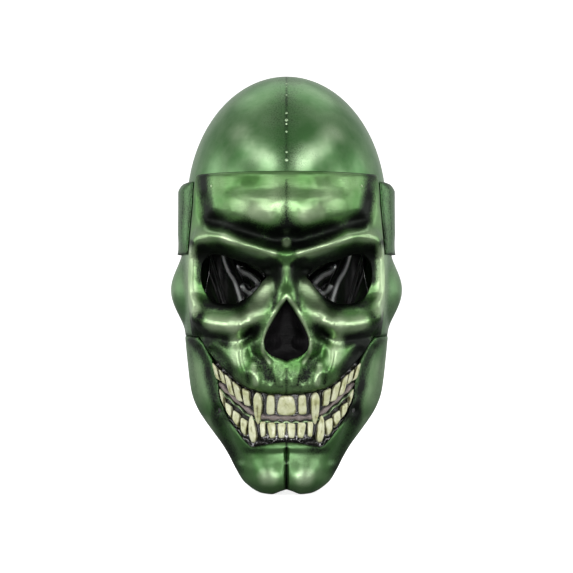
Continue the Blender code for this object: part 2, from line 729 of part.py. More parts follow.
def make_nose_cavity(parent):
    """The dark cup behind the nose opening, with two nostril swellings."""
    lap = GUM_LAP
    setback = FACE_WALL / math.cos(math.radians(50)) + FIT_GAP
    floor = NOSE_TOP - NOSE_HEIGHT

    def place(across, up):
        x = across * (NOSE_HALF_WIDTH + 2 * lap)
        z = mix(floor - 2 * lap, NOSE_TOP + 2 * lap, (up + 1) / 2)
        down = min(max((NOSE_TOP - z) / NOSE_HEIGHT, 0.0), 1.0)
        half = NOSE_HALF_WIDTH * min(0.1 + 1.4 * down, 1.0)
        sunk = NOSE_DEPTH * swell(abs(x) / half, 4) * swell(2 * down - 1, 8)
        from_nostril = math.hypot(abs(x) - NOSTRIL_PLACE[0], z - floor - NOSTRIL_PLACE[1])
        bud = NOSTRIL_SWELL * swell(from_nostril / NOSTRIL_RADIUS)
        return Vector((x, -face_front(x, z) + setback + sunk - bud, z))

    cup = object_from(shaped_grid(10, 10, place, away_from_middle), "nose_cavity", "gum_black", parent)
    add_wall(cup, LINING_WALL)
    far = 2 * CROWN_HALF_LENGTH
    outline = grown(nose_outline(), lap)
    add_boolean(cup, prism("nose_rim", outline, -far, 0.0, "Y", parent), "INTERSECT")
    return cup


def make_side_pads(parent):
    """The two raised pads over the temples, flush outside and shaped to the hood inside."""
    for label, side in MIRRORED:
        def place(across, up, side=side):
            y = mix(PAD_FRONT, PAD_REAR, (across + 1) / 2)
            height = mix(PAD_FOOT, PAD_TOP, (up + 1) / 2)
            near_ear = max(1 - math.hypot(height - EAR_HEIGHT, y) / (1.3 * EAR_RADIUS), 0.0)
            clearance = 1.5 * FIT_GAP + 0.5 * EAR_SWELL * near_ear
            return head_point(side * edge_angle(height, -y), height, clearance)

        bm = shaped_grid(8, 6, place, away_from_middle)
        made = bmesh.ops.extrude_face_region(bm, geom=bm.faces[:])["geom"]
        for vert in made:
            if isinstance(vert, bmesh.types.BMVert):
                end = PAD_REAR if vert.co.y > PAD_MIDDLE else PAD_FRONT
                away = (vert.co.y - PAD_MIDDLE) / (end - PAD_MIDDLE)
                room = max(PAD_HALF_SPAN - abs(vert.co.x), PAD_EDGE)
                vert.co.x += side * mix(room, PAD_EDGE, min(away, 1.0) ** 2)
        bmesh.ops.recalc_face_normals(bm, faces=bm.faces)
        object_from(bm, f"side_pad_{label}", "green_shell", parent)


def make_lining(parent):
    """The black skin inside the back of the hood, crushed into folds."""
    inset = HOOD_WALL + 2 * FIT_GAP

    def place(across, up):
        angle = math.pi + across * LINING_SWEEP / 2
        height = mix(LINING_FOOT, LINING_TOP, (up + 1) / 2)
        flat = head_point(angle, height, -inset)
        fold = relief(LINING_STROKES, flat.x, height, CROWN_HALF_WIDTH, CROWN_BASE, LINING_FOLD)
        return head_point(angle, height, -inset - fold)

    bm = shaped_grid(22, 10, place, away_from_middle)
    lining = object_from(bm, "hood_lining", "lining_black", parent)
    add_wall(lining, LINING_WALL)
    return lining


def main():
    for obj in list(bpy.data.objects):
        bpy.data.objects.remove(obj)
    stance = bpy.data.objects.new("mask_stance", None)
    bpy.context.scene.collection.objects.link(stance)
    make_hood(stance)
    make_face(stance)
    make_jaw(stance)
    make_gums(stance)
    make_teeth(stance)
    make_nose_cavity(stance)
    make_side_pads(stance)
    make_lining(stance)


main()
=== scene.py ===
"""Skull mask in green metallic paint, standing upright on its chin and nape.

Metres, +Z up, the face towards -Y. Tables hold shares of the named sizes above them.
"""

import math

import bmesh
import bpy
import numpy as np
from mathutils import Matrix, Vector


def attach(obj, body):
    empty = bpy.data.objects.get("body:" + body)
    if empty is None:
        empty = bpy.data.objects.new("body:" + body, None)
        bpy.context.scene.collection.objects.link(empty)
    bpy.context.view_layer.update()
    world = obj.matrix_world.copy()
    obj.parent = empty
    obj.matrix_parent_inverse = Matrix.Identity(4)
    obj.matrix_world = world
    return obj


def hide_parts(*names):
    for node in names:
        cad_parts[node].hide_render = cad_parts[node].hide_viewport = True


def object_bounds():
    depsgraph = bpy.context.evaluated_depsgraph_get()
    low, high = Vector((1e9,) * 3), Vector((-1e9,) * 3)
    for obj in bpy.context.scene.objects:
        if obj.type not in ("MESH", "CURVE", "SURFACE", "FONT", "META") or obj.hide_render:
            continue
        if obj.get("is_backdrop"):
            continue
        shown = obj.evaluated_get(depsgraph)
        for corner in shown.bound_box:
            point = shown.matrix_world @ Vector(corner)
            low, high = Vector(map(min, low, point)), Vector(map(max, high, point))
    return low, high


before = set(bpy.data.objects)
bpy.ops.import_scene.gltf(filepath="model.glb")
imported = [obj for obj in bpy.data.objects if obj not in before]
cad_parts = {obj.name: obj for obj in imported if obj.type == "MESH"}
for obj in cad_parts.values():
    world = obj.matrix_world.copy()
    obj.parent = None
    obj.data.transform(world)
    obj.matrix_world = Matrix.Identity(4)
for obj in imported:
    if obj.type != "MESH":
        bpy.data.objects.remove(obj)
cad_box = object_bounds()

# Sizes

CROWN_HALF_WIDTH = 0.0825
CROWN_HALF_LENGTH = 0.104
CROWN_BASE = 0.230
CROWN_RISE = 0.107
CROWN_SETBACK = 0.0065
EAR_HEIGHT = 0.159
EAR_RADIUS = 0.033
EAR_SWELL = 0.0085

SHELL_WALL = 0.0025
FACE_STANDOFF = 0.0033
FIT_GAP = 0.0004
ROLLED_EDGE = 0.0018
SHARP_ANGLE = math.radians(50)
FACE_SMOOTHING_ROUNDS = 7

FACE_TOP = 0.253
FACE_EDGE_DEPTH = 0.0415
FACE_LAP_SIDE = 0.006
FACE_LAP_TOP = 0.013
FACE_SIDE_RUN = 0.024
JAW_TOP = 0.1222
NECK_ARCH_REAR = 0.058
NECK_ARCH_FRONT = 0.012

MM = 0.001
EYE_CENTRE = (0.0425, 0.1685)
EYE_HALF_SIZE = (0.026, 0.0197)
NOSE_TOP = 0.153
NOSE_HEIGHT = 0.048
NOSE_HALF_WIDTH = 0.0172
NOSE_DEPTH = 0.010
NOSE_SLOPE = math.radians(50)
NOSTRIL_PLACE = (0.0100, 0.0144)
NOSTRIL_RADIUS = 0.0070
NOSTRIL_SWELL = 0.0040

MOUTH_HALF_WIDTH = 0.070
MOUTH_TOP = 0.121
MOUTH_FLOOR = 0.038
JAW_HALF_WIDTH = 1.2 * MOUTH_HALF_WIDTH
JAW_REACH = 0.962 * CROWN_HALF_LENGTH
JAW_ROUND_SHARE = 0.86
CLEFT_RISE = 0.0036
CLEFT_REACH = 0.012
CLEFT_FADE = 0.024
ARCH_HALF_WIDTH = 1.017 * MOUTH_HALF_WIDTH
ARCH_REACH = 0.683 * CROWN_HALF_LENGTH
ARCH_SETBACK = 0.1635 * CROWN_HALF_LENGTH
ARCH_ROUND_SHARE = 0.97
GUM_WALL = 0.0036
GUM_LAP = 0.003
STRIP_HEIGHT = 0.0056
STRIP_THICKNESS = 0.0018
RIDGE_WALL = 0.0012
SCALLOP_TURNS = 880
TOOTH_LENGTH = 0.0145
TOOTH_WIDTH = 0.0065
TOOTH_DEPTH = 0.0056
TOOTH_SQUARENESS = 4.5

PAD_HALF_SPAN = 0.0898
PAD_FRONT = -0.036
PAD_MIDDLE = 0.004
PAD_REAR = 0.052
PAD_FOOT = 0.189
PAD_TOP = 0.248
PAD_EDGE = 0.0018
PAD_ROUND = 0.0008
LINING_WALL = 0.0012
LINING_FOLD = 0.008
LINING_FOOT = 0.118
LINING_TOP = 0.235
LINING_SWEEP = math.radians(118)
LINING_SLACK = 0.12
CREST_REACH = 1.9

SEAM_STUD_RADIUS = 0.0011
RIVET_RADIUS = 0.0012
RIVET_PLACE = (0.0595, 0.2425)

FLOOR_FRONT = -2.6
FLOOR_RUN = 4.0
SWEEP_RADIUS = 1.5
SWEEP_LENGTH = 7.0
SWEEP_HALF_WIDTH = 5.0
WALL_START = 1.3
LIGHT_TARGET = (0.0, 0.0, 0.2)
CAMERA_PLACE = (0.0, -1.6, 0.163)
CAMERA_LENS = 121.4

# Tables

HEAD_SECTIONS = (
    # height, half_width, half_length, setback
    (-0.06, 0.42, 0.79, 0.0),
    (0.00, 0.49, 0.80, 0.0),
    (0.13, 0.66, 0.82, 0.0),
    (0.26, 0.81, 0.84, 0.1),
    (0.43, 0.95, 0.88, 0.2),
    (0.55, 1.02, 0.92, 0.4),
    (0.70, 1.06, 0.96, 0.7),
    (0.83, 1.05, 0.98, 0.9),
    (0.91, 1.03, 0.99, 1.0),
    (1.00, 1.00, 1.00, 1.0),
)
JAW_SECTIONS = (
    # height, half_width, centre, front, rear
    (0.000, 0.02, 0.77, 0.79, 0.76),
    (0.002, 0.21, 0.71, 0.89, 0.62),
    (0.012, 0.28, 0.68, 0.93, 0.58),
    (0.033, 0.34, 0.65, 0.96, 0.55),
    (0.070, 0.41, 0.60, 0.99, 0.50),
    (0.147, 0.485, 0.54, 1.00, 0.44),
    (0.221, 0.545, 0.48, 0.99, 0.38),
    (0.295, 0.615, 0.42, 0.98, 0.31),
    (0.368, 0.70, 0.35, 0.975, 0.24),
    (0.442, 0.785, 0.28, 0.97, 0.18),
    (0.516, 0.86, 0.21, 0.96, 0.11),
    (0.597, 0.915, 0.14, 0.95, 0.05),
    (0.680, 0.943, 0.10, 0.94, 0.00),
    (0.843, 0.974, 0.05, 0.93, -0.06),
    (1.020, 1.000, 0.03, 0.93, -0.10),
)
MOUTH_UPPER = (
    # across, up
    (0.00, 0.486), (0.20, 0.494), (0.33, 0.513), (0.45, 0.542), (0.55, 0.590),
    (0.66, 0.667), (0.76, 0.749), (0.86, 0.836), (0.95, 0.942), (1.00, 1.000),
)
MOUTH_LOWER = (
    # across, up
    (0.00, 0.046), (0.16, 0.034), (0.29, 0.012), (0.39, 0.000), (0.46, 0.050),
    (0.53, 0.114), (0.60, 0.193), (0.69, 0.290), (0.74, 0.383), (0.77, 0.490),
    (0.80, 0.620), (0.85, 0.775), (0.92, 0.893), (1.00, 1.000),
)
BITE_LINE = (
    # across, up
    (0.00, 0.269), (0.22, 0.271), (0.33, 0.292), (0.43, 0.335), (0.51, 0.395),
    (0.60, 0.458), (0.71, 0.542), (0.78, 0.596),
)
EYE_OUTLINE = (
    # across, up
    (0.96, 0.70), (0.74, 0.97), (0.42, 1.00), (-0.06, 0.79), (-0.55, 0.58), (-1.00, 0.18),
    (-0.92, -0.06), (-0.58, -0.58), (-0.31, -0.82), (0.00, -0.98), (0.48, -0.92), (0.78, -0.68),
    (0.98, -0.16), (1.00, 0.32),
)
NOSE_OUTLINE = (
    # across, down
    (0.00, 0.00), (0.18, 0.10), (0.37, 0.21), (0.61, 0.35), (0.85, 0.50), (1.00, 0.66),
    (0.97, 0.79), (0.84, 0.87), (0.56, 0.93), (0.28, 0.96), (0.00, 1.00),
)

# Ridges (+) and hollows (-), mirrored. Places: percent of CROWN_HALF_WIDTH across and of
# CROWN_BASE up, and on the jaw of JAW_HALF_WIDTH and JAW_TOP. Reach and height in millimetres.
# A larger edge number makes steeper sides.
FACE_STROKES = (
    # name, places, reach, height, edge
    ("forehead", ((0, 98.5), (40, 99.5)), 30, 5.0, 2),
    ("forehead lobe", ((21, 95.2), (28, 96)), 17, 1.8, 2),
    ("brow groove", ((0, 86.5), (19, 87.6), (40, 90.0), (59, 92.1), (68, 93.2)), 10.5, -6.6, 2),
    ("temple dent", ((66, 93.0), (76, 95.0), (80, 101), (84, 108)), 9, -4.8, 2),
    ("brow body", ((0, 82), (22, 82.6), (42, 85), (58, 88), (80, 87.5)), 15, 3.8, 2),
    ("brow crest", ((6, 81.9), (14, 82.0), (24, 82.4), (41, 84.6), (59, 87.5), (68, 88.3), (77, 88.2),
                    (90, 86.6)), 9, 5.8, 2),
    ("glabella", ((0, 85.6), (0, 85.6)), 4.4, 4.4, 2),
    ("glabella pit", ((10, 85.6), (16, 86.2)), 5, -2.0, 2),
    ("socket", ((36, 73), (56, 74), (70, 75)), 27, -20.0, 4),
    ("socket corner", ((20, 77), (34, 73.5)), 12, -11.0, 2),
    ("lower lid", ((38, 63.0), (52, 61.8), (70, 62)), 6, -2.4, 2),
    ("nose bridge", ((0, 81), (0, 72)), 9, 4.0, 2),
    ("nose bone", ((0, 73), (0, 67)), 12, 6.0, 2),
    ("bridge crest", ((0, 80), (0, 75)), 3, 1.2, 2),
    ("nose side", ((11, 66), (20, 58), (25, 50)), 9, 3.0, 2),
    ("bridge flank", ((15, 75), (11, 69), (14, 64)), 4, -1.8, 2),
    ("orbit rim", ((93, 84), (95, 77), (95, 71), (91, 65), (87, 61)), 10, 4.6, 2),
    ("cheekbone", ((88, 59.2), (76, 58.2), (62, 57.6), (48, 57.4)), 13, 7.6, 2),
    ("inner cheek", ((42, 58.6), (33, 60.5), (27, 65), (19, 71)), 13, 5.6, 2),
    ("cheek hollow", ((82, 54), (66, 53.4), (48, 52.6), (34, 54.6)), 8.5, -6.6, 2),
    ("upper jaw", ((0, 38.5), (26, 39), (40, 40), (52, 42.5)), 19, 5.5, 2),
    ("cheek pillar", ((48, 53), (45, 48), (41, 42)), 9.5, 5.0, 2),
    ("pillar groove", ((70, 48.9), (62, 45.6), (53, 41)), 7.5, -4.0, 2),
    ("pillar side", ((31, 50), (28, 44)), 6.5, -2.4, 2),
    ("fang root", ((31.5, 45), (28, 37)), 5.5, 2.8, 2),
    ("root groove", ((21, 46), (17.5, 40)), 6.0, -2.0, 2),
    ("lateral root", ((17, 38), (15.5, 35)), 4.0, 1.6, 2),
    ("incisor root", ((6, 40), (5, 35.5)), 4.0, 1.4, 2),
    ("nose spine", ((0, 44.5), (0, 40)), 6, 1.2, 2),
    ("philtrum", ((0, 42), (0, 35)), 1.6, -0.8, 2),
    ("centre crease", ((0, 107), (0, 88)), 1.3, -0.7, 2),
    ("crease left", ((4, 104.5), (9, 98), (12, 94)), 1.6, -0.35, 2),
    ("forehead crease", ((6, 106.0), (20, 104.6), (36, 105.2)), 1.8, -0.4, 2),
    ("forehead fold", ((12, 103.2), (28, 102.6), (44, 103.4)), 2.0, 0.2, 2),
    ("top lip", ((0, 109.6), (40, 109.5), (70, 109.3), (90, 109)), 2.0, 0.9, 2),
    ("temple nick", ((93, 85.5), (96, 84.0)), 3.0, -2.0, 2),
    ("cheek nick", ((88, 57.6), (93, 58.2)), 3.6, -2.4, 2),
)
JAW_STROKES = (
    # name, places, reach, height, edge
    ("corner groove", ((82, 93), (74.5, 81), (66, 64), (63.5, 53)), 5.0, -3.0, 2),
    ("chin groove", ((63.5, 53), (59, 44), (53, 32), (45, 22)), 6.0, -3.2, 2),
    ("lip roll", ((0, 31), (25, 30), (36, 31), (47, 39), (58, 47), (66, 60)), 4.5, 1.6, 2),
    ("chin hollow", ((0, 28), (36, 27)), 13, -0.9, 2),
    ("chin lobe", ((17, 11), (17, 8)), 18, 4.0, 2),
    ("cleft", ((0, 29), (0, 16), (0, 0)), 2.6, -3.6, 2),
    ("cleft knob", ((0, 21.5), (0, 20.5)), 1.8, 2.4, 2),
    ("side hollow", ((44, 26), (36, 14)), 9, -1.6, 2),
)
LINING_STROKES = (
    # name, places, reach, height, edge
    ("long fold", ((68, 84), (65, 80), (61, 76.5), (55, 73), (51, 69), (48, 65), (46, 60)), 5.5, 4.6, 2),
    ("upper fold", ((52, 78.4), (48, 76.8), (39, 75.2), (32, 73.1), (28, 71)), 5.0, 4.2, 2),
    ("loop fold", ((28, 71.2), (34, 69), (42, 68.6), (47, 71)), 4.5, 3.8, 2),
    ("low fold", ((47, 62), (41, 65.5), (35, 67.6), (29, 69.4)), 3.6, 3.0, 2),
    ("outer fold", ((92, 84), (84, 74), (76, 65), (68, 56)), 8.0, 4.0, 2),
    ("nape fold", ((0, 96), (8, 80), (6, 62)), 8.0, 5.0, 2),
    ("inner fold", ((20, 84), (18, 76), (22, 66), (18, 58)), 7.0, 4.6, 2),
)

# Wash is dark paint and painted shade in the hollows; polish is rubbed paint and painted highlights on the
# ridges, mirrored.
# Places are percent as above, reach is in millimetres and strength goes from 0 to 1.
FACE_WASH_AND_SHADE = (
    # name, places, reach, strength, edge
    ("brow groove", ((0, 87), (19, 87.6), (40, 90)), 13.5, 1.0, 3),
    ("brow inner", ((0, 85), (14, 84.8), (26, 86), (38, 88)), 8, 1.0, 3),
    ("brow end", ((40, 90), (59, 92), (75, 94.2)), 10.5, 1.0, 2),
    ("brow heart", ((0, 92), (7, 90)), 9, 0.9, 2),
    ("forehead middle", ((0, 104), (0, 92)), 8, 0.5, 2),
    ("temple", ((70, 93.8), (77, 98), (80, 104), (82, 111)), 10.5, 1.0, 2),
    ("side", ((96, 108), (95, 99), (97, 90)), 4, 0.4, 2),
    ("under crest", ((20, 78), (33, 79), (50, 81), (66, 84)), 9, 1.0, 2),
    ("outer wall", ((82, 83), (84, 79), (83, 74)), 9, 1.0, 3),
    ("socket inner", ((17, 74.5), (30, 73.5)), 15, 1.0, 6),
    ("socket", ((42, 74), (58, 75.8)), 22, 1.0, 6),
    ("socket outer", ((66, 77.5), (76, 79)), 19, 1.0, 5),
    ("under lid", ((30, 68), (42, 65.6), (56, 64.6), (76, 65.4)), 12, 1.0, 2),
    ("glabella", ((9, 84.8), (18, 86.2)), 7, 1.0, 3),
    ("bridge", ((15, 80), (8, 78)), 6, 1.0, 3),
    ("bridge flank", ((16, 75), (12, 71), (12, 66)), 5, 0.62, 2),
    ("bridge groove", ((13, 74), (10, 69), (13, 63)), 3.0, 0.55, 2),
    ("cheek out", ((97, 62), (84, 60.8)), 8, 1.0, 2),
    ("nose rim", ((9, 66), (17, 60), (24, 54), (26, 48)), 3, 0.4, 2),
    ("cheek hollow", ((92, 55), (70, 53.6), (50, 52.4), (36, 54.6), (31, 57)), 9.5, 1.0, 3),
    ("pillar groove", ((76, 51), (64, 46), (55, 41.5)), 9, 0.95, 3),
    ("pillar side", ((31, 51), (28, 44)), 6, 0.8, 2),
    ("root groove", ((22, 46), (18, 40)), 6, 0.9, 2),
    ("gum line", ((0, 34.2), (27, 35), (38, 36), (47, 38.5), (56, 41.5), (68, 46.5), (82, 52)), 3.5, 0.7, 2),
    ("root line", ((4, 37), (10, 37.4), (12, 41)), 1.6, 0.6, 2),
    ("mouth corner", ((80, 51), (92, 54)), 8, 0.9, 3),
    ("centre crease", ((0, 107), (0, 88)), 1.6, 0.55, 2),
    ("philtrum", ((0, 43), (0, 35)), 1.8, 0.6, 2),
    ("upper jaw", ((0, 40), (30, 41), (44, 41)), 15, 0.3, 2),
    ("root folds", ((15, 43), (13, 37)), 3.0, 0.55, 2),
    ("side folds", ((38, 43), (36, 38)), 2.6, 0.6, 2),
    ("temple nick", ((93, 85.8), (97, 84)), 5, 0.95, 3),
    ("cheek nick", ((86, 57.4), (96, 58.2)), 6, 0.95, 3),
)
FACE_POLISH_AND_HIGHLIGHT = (
    # name, places, reach, strength, edge
    ("forehead", ((10, 100), (36, 99)), 20, 0.32, 2),
    ("forehead spot", ((19, 95.0), (29, 96.0)), 9, 1.0, 2),
    ("brow crest", ((13, 82.0), (24, 82.5), (41, 84.7), (59, 87.6)), 5.2, 1.0, 2),
    ("brow body", ((24, 83), (60, 88), (80, 88)), 8, 0.4, 2),
    ("glabella", ((0, 85.6), (0, 85.6)), 5, 1.0, 3),
    ("orbit rim", ((93, 83), (94, 76), (94, 70), (90, 63)), 8.5, 1.0, 2),
    ("cheekbone", ((70, 58.0), (60, 57.6), (44, 57.8)), 10, 1.0, 2),
    ("inner cheek", ((44, 58.6), (34, 60.6), (27, 65), (19, 71)), 10, 1.0, 2),
    ("cheek pillar", ((48, 53), (45, 46)), 8.5, 1.0, 2),
    ("fang root", ((31, 44), (29, 38)), 3.5, 0.7, 2),
    ("roots", ((0, 37), (20, 37)), 6, 0.1, 2),
    ("nose rim", ((0, 67.6), (9, 63.5), (20, 55), (22.5, 49), (16, 45)), 2.0, 0.9, 2),
)
JAW_WASH_AND_SHADE = (
    # name, places, reach, strength, edge
    ("corner groove", ((90, 98), (79, 88), (72, 72), (67, 58), (64, 46)), 8, 0.95, 2),
    ("chin groove", ((66, 50), (60, 38), (52, 26), (46, 15)), 10, 0.85, 2),
    ("lip", ((0, 36), (24, 33), (36, 33), (46, 42), (58, 50), (62, 62), (66, 78)), 2.6, 0.9, 2),
    ("under lip", ((24, 30), (38, 28)), 7, 0.75, 2),
    ("cleft", ((0, 34), (0, 16), (0, 0)), 1.7, 0.9, 2),
    ("side shade", ((80, 44), (71, 32), (58, 18)), 10, 0.5, 2),
    ("plate edge", ((97, 98), (91, 80), (86, 62)), 5, 0.4, 2),
)
JAW_POLISH_AND_HIGHLIGHT = (
    # name, places, reach, strength, edge
    ("chin lobe", ((15, 12), (19, 12)), 9, 1.0, 2),
    ("side", ((84, 60), (88, 80)), 12, 0.3, 2),
    ("plate sheen", ((76, 46), (66, 30), (56, 20)), 5, 0.45, 2),
)

UPPER_TEETH = (
    # name, across, lift, length, root_width, tip_width, lean
    ("upper_incisor", 0.000, 0.04, 1.06, 1.74, 2.34, 0.00),
    ("upper_lateral", 0.175, 0.03, 1.07, 0.92, 1.06, 0.04),
    ("upper_fang", 0.318, 0.02, 1.73, 1.15, 0.22, 0.05),
    ("upper_molar_1", 0.444, 0.05, 0.87, 0.92, 0.80, -0.06),
    ("upper_molar_2", 0.543, 0.07, 0.85, 0.90, 0.80, -0.17),
    ("upper_molar_3", 0.632, 0.09, 0.85, 0.76, 0.70, -0.20),
    ("upper_molar_4", 0.712, 0.16, 0.54, 0.56, 0.58, -0.10),
    ("upper_molar_5", 0.786, 0.20, 0.66, 0.50, 0.54, -0.16),
)
LOWER_TEETH = (
    # name, across, lift, length, root_width, tip_width, lean
    ("lower_incisor_1", 0.054, 0.21, 0.81, 0.70, 1.06, 0.00),
    ("lower_incisor_2", 0.161, 0.25, 0.85, 0.72, 1.06, 0.10),
    ("lower_incisor_3", 0.261, 0.41, 0.83, 0.52, 0.70, 0.06),
    ("lower_fang", 0.381, 0.20, 1.45, 1.00, 0.20, 0.18),
    ("lower_molar_1", 0.474, 0.24, 0.86, 0.50, 0.86, -0.02),
    ("lower_molar_2", 0.562, 0.22, 0.74, 0.54, 0.86, -0.05),
    ("lower_molar_3", 0.644, 0.22, 0.62, 0.56, 0.78, 0.08),
    ("lower_molar_4", 0.722, 0.30, 0.56, 0.38, 0.42, 0.08),
)
TOOTH_ROWS = ((UPPER_TEETH, MOUTH_UPPER, -1), (LOWER_TEETH, MOUTH_LOWER, 1))
MIRRORED = (("left", -1), ("right", 1))

SEAM_STUDS = (
    # height, size
    (0.3270, 0.7), (0.3235, 0.7), (0.3160, 0.6), (0.3000, 1.0), (0.2940, 1.3), (0.2910, 0.9),
    (0.2845, 1.0), (0.2680, 0.9), (0.2615, 1.3),
)
# Lines of painted highlight on the hood: on each dome lobe and at the temples.
DOME_SHINE = (
    # across, height
    (0.036, 0.283), (0.012, 0.261),
)
TEMPLE_SHINE = (
    # depth, height
    (-0.038, 0.146), (-0.036, 0.188),
)
SOFTBOXES = (
    # name, degrees aside, degrees up, distance, width, height, radiance
    ("inner_strip", 26, 33, 1.8, 0.55, 0.22, 8.0),
    ("outer_strip", 56, 39, 1.8, 1.10, 0.22, 3.0),
    ("front", 24, 10, 1.9, 0.55, 0.45, 5.6),
    ("near", 6, 1.5, 1.85, 0.34, 0.30, 14.0),
    ("side", 74, 6, 1.6, 0.50, 0.90, 3.6),
    ("rim", 106, 4, 1.6, 0.50, 1.20, 2.0),
)


# Forms

def read_table(rows, keys):
    """The columns of a table at these keys, on a smooth curve through its rows."""
    rows = np.asarray(rows, float)
    keys = np.clip(np.asarray(keys, float), rows[0, 0], rows[-1, 0])
    at = np.clip(np.searchsorted(rows[:, 0], keys, side="right") - 1, 0, len(rows) - 2)
    low, high = rows[at], rows[at + 1]
    before, beyond = rows[np.maximum(at - 1, 0)], rows[np.minimum(at + 2, len(rows) - 1)]
    span = (high - low)[..., :1]
    t = (keys[..., None] - low[..., :1]) / span
    slope_low = span * (high - before) / (high - before)[..., :1]
    slope_high = span * (beyond - low) / (beyond - low)[..., :1]
    steps = 3 * (high - low) - 2 * slope_low - slope_high
    bend = slope_low + slope_high - 2 * (high - low)
    values = low + t * (slope_low + t * (steps + t * bend))
    return np.moveaxis(values[..., 1:], -1, 0)


def swell(share, edge=2):
    """A rounded bump: 1 in its middle, 0 from a share of 1 outwards."""
    return (1 - np.minimum(share, 1.0) ** edge) ** 2


def spot(distance, reach, edge=2):
    """1 at no distance, fading to 0 at this reach in millimetres."""
    return swell(distance / (reach * MM), edge)


def smooth_step(value):
    value = np.clip(value, 0.0, 1.0)
    return value * value * (3 - 2 * value)


def smooth_line(points, steps=5):
    """A polyline with rounded corners through these points."""
    points = np.asarray(points, float)
    if len(points) < 3:
        return points
    key = np.arange(len(points), dtype=float)
    rows = np.column_stack([key, points])
    return read_table(rows, np.linspace(0, key[-1], steps * (len(points) - 1) + 1)).T


def distance_to_line(x, z, line, closed=False):
    """Distance from each place to a polyline, both in the front view."""
    near = np.full(np.shape(x), 1e9)
    ends = np.roll(line, -1, axis=0) if closed else line[1:]
    for (ax, az), (bx, bz) in zip(line, ends):
        dx, dz = bx - ax, bz - az
        along = np.clip(((x - ax) * dx + (z - az) * dz) / max(dx * dx + dz * dz, 1e-12), 0, 1)
        near = np.minimum(near, np.hypot(x - ax - along * dx, z - az - along * dz))
    return near


def depth_in_outline(x, z, outline):
    """Distance to a closed outline: positive outside it, negative inside."""
    near = distance_to_line(x, z, outline, closed=True)
    inside = np.zeros(np.shape(x), bool)
    for (ax, az), (bx, bz) in zip(outline, np.roll(outline, -1, axis=0)):
        crosses = (az > z) != (bz > z)
        rise = bz - az if abs(bz - az) > 1e-12 else 1e-12
        inside ^= crosses & (x < ax + (z - az) * (bx - ax) / rise)
    return np.where(inside, -near, near)


def stroke_bumps(strokes, x, z, across, up):
    """The rounded bump of each stroke at these places."""
    for _, places, reach, height, edge in strokes:
        line = smooth_line(places) * np.array([across, up]) / 100
        yield height * spot(distance_to_line(np.abs(x), z, line), reach, edge)


def relief_at(strokes, x, z, across, up):
    """Sum of the strokes at these places, in metres."""
    return sum(stroke_bumps(strokes, x, z, across, up)) * MM


def paint_at(strokes, x, z, across, up):
    """The strengths of overlapping paint strokes joined without summing past 1."""
    clear = 1.0
    for bump in stroke_bumps(strokes, x, z, across, up):
        clear = clear * (1 - bump)
    return 1 - clear


def painted(points, wash, polish, across, up, wiped):
    """Wash with painted shade, and polish with painted highlights, of a surface. The polish wipes this share
    of the wash away.
    """
    x, _, z = points.T
    bright = paint_at(polish, x, z, across, up)
    return {"wash": paint_at(wash, x, z, across, up) * (1 - wiped * bright), "polish": bright}


def head_section(height):
    """Half-width, half-length and centre of the head's outline at these heights."""
    height = np.asarray(height, float)
    rise = np.clip((height - CROWN_BASE) / CROWN_RISE, 0.0, 1.0)
    k = np.sqrt(np.maximum(1 - rise * rise, 0.0))
    width, length, setback = read_table(HEAD_SECTIONS, height / CROWN_BASE)
    return width * CROWN_HALF_WIDTH * k, length * CROWN_HALF_LENGTH * k, setback * CROWN_SETBACK


def head_point(angle, height, lift=0.0):
    """Points of the head's surface, with the angle from the front towards +X."""
    width, length, centre = head_section(height)
    x, y = width * np.sin(angle), centre - length * np.cos(angle)
    nx, ny = np.sin(angle) / np.maximum(width, 1e-6), -np.cos(angle) / np.maximum(length, 1e-6)
    size = np.hypot(nx, ny)
    out = EAR_SWELL * swell(np.hypot(height - EAR_HEIGHT, y) / EAR_RADIUS) + lift
    return np.stack([x + nx / size * out, y + ny / size * out, height + 0 * x], axis=-1)


def edge_angle(height, depth):
    """Angle from the front at which the head's surface lies at this depth before the ears."""
    _, length, centre = head_section(height)
    return np.arccos(np.clip((depth + centre) / length, -1.0, 1.0))


def mouth_height(edge, x):
    """Height of one of the mouth's lines at these places across."""
    (up,) = read_table(edge, np.abs(x) / MOUTH_HALF_WIDTH)
    return MOUTH_FLOOR + (MOUTH_TOP - MOUTH_FLOOR) * up


def above_edge(edge, x, height):
    """Roughly how far a place lies above one of the mouth's lines, squarely across the line."""
    level = mouth_height(edge, x)
    slope = (mouth_height(edge, np.abs(x) + MM) - level) / MM
    return (height - level) / np.sqrt(1 + slope * slope)


def eye_outline(side):
    points = smooth_line(EYE_OUTLINE + EYE_OUTLINE[:1], 4)[:-1]
    return (np.array(EYE_CENTRE) + points * EYE_HALF_SIZE) * (side, 1)


def nose_outline():
    half = smooth_line(NOSE_OUTLINE, 4) * (NOSE_HALF_WIDTH, -NOSE_HEIGHT) + (0.0, NOSE_TOP)
    return np.vstack([half, half[-2:0:-1] * (-1, 1)])


NOSE_LINE = nose_outline()
EYE_LINE = eye_outline(1)


def held_relief(lift, depth, height):
    """Relief kept off the hood: it fades where the face laps it, and hollows stop before it."""
    inside = np.minimum(
        (depth - FACE_EDGE_DEPTH - 0.5 * FACE_LAP_SIDE) / FACE_LAP_TOP,
        (FACE_TOP - 0.8 * FACE_LAP_TOP - height) / FACE_LAP_TOP,
    )
    lift = lift * smooth_step(inside)
    room = np.maximum(depth - FACE_EDGE_DEPTH - FACE_LAP_SIDE - 1.6 * SHELL_WALL, FIT_GAP)
    return np.where(lift > 0, lift, -room * np.tanh(-lift / room))


def rolled_in(distance, radius=ROLLED_EDGE):
    """How far a rounded edge drops at this distance from it."""
    share = np.clip(1 - distance / radius, 0.0, 1.0)
    return radius * (1 - np.sqrt(np.maximum(1 - share * share, 0.0)))


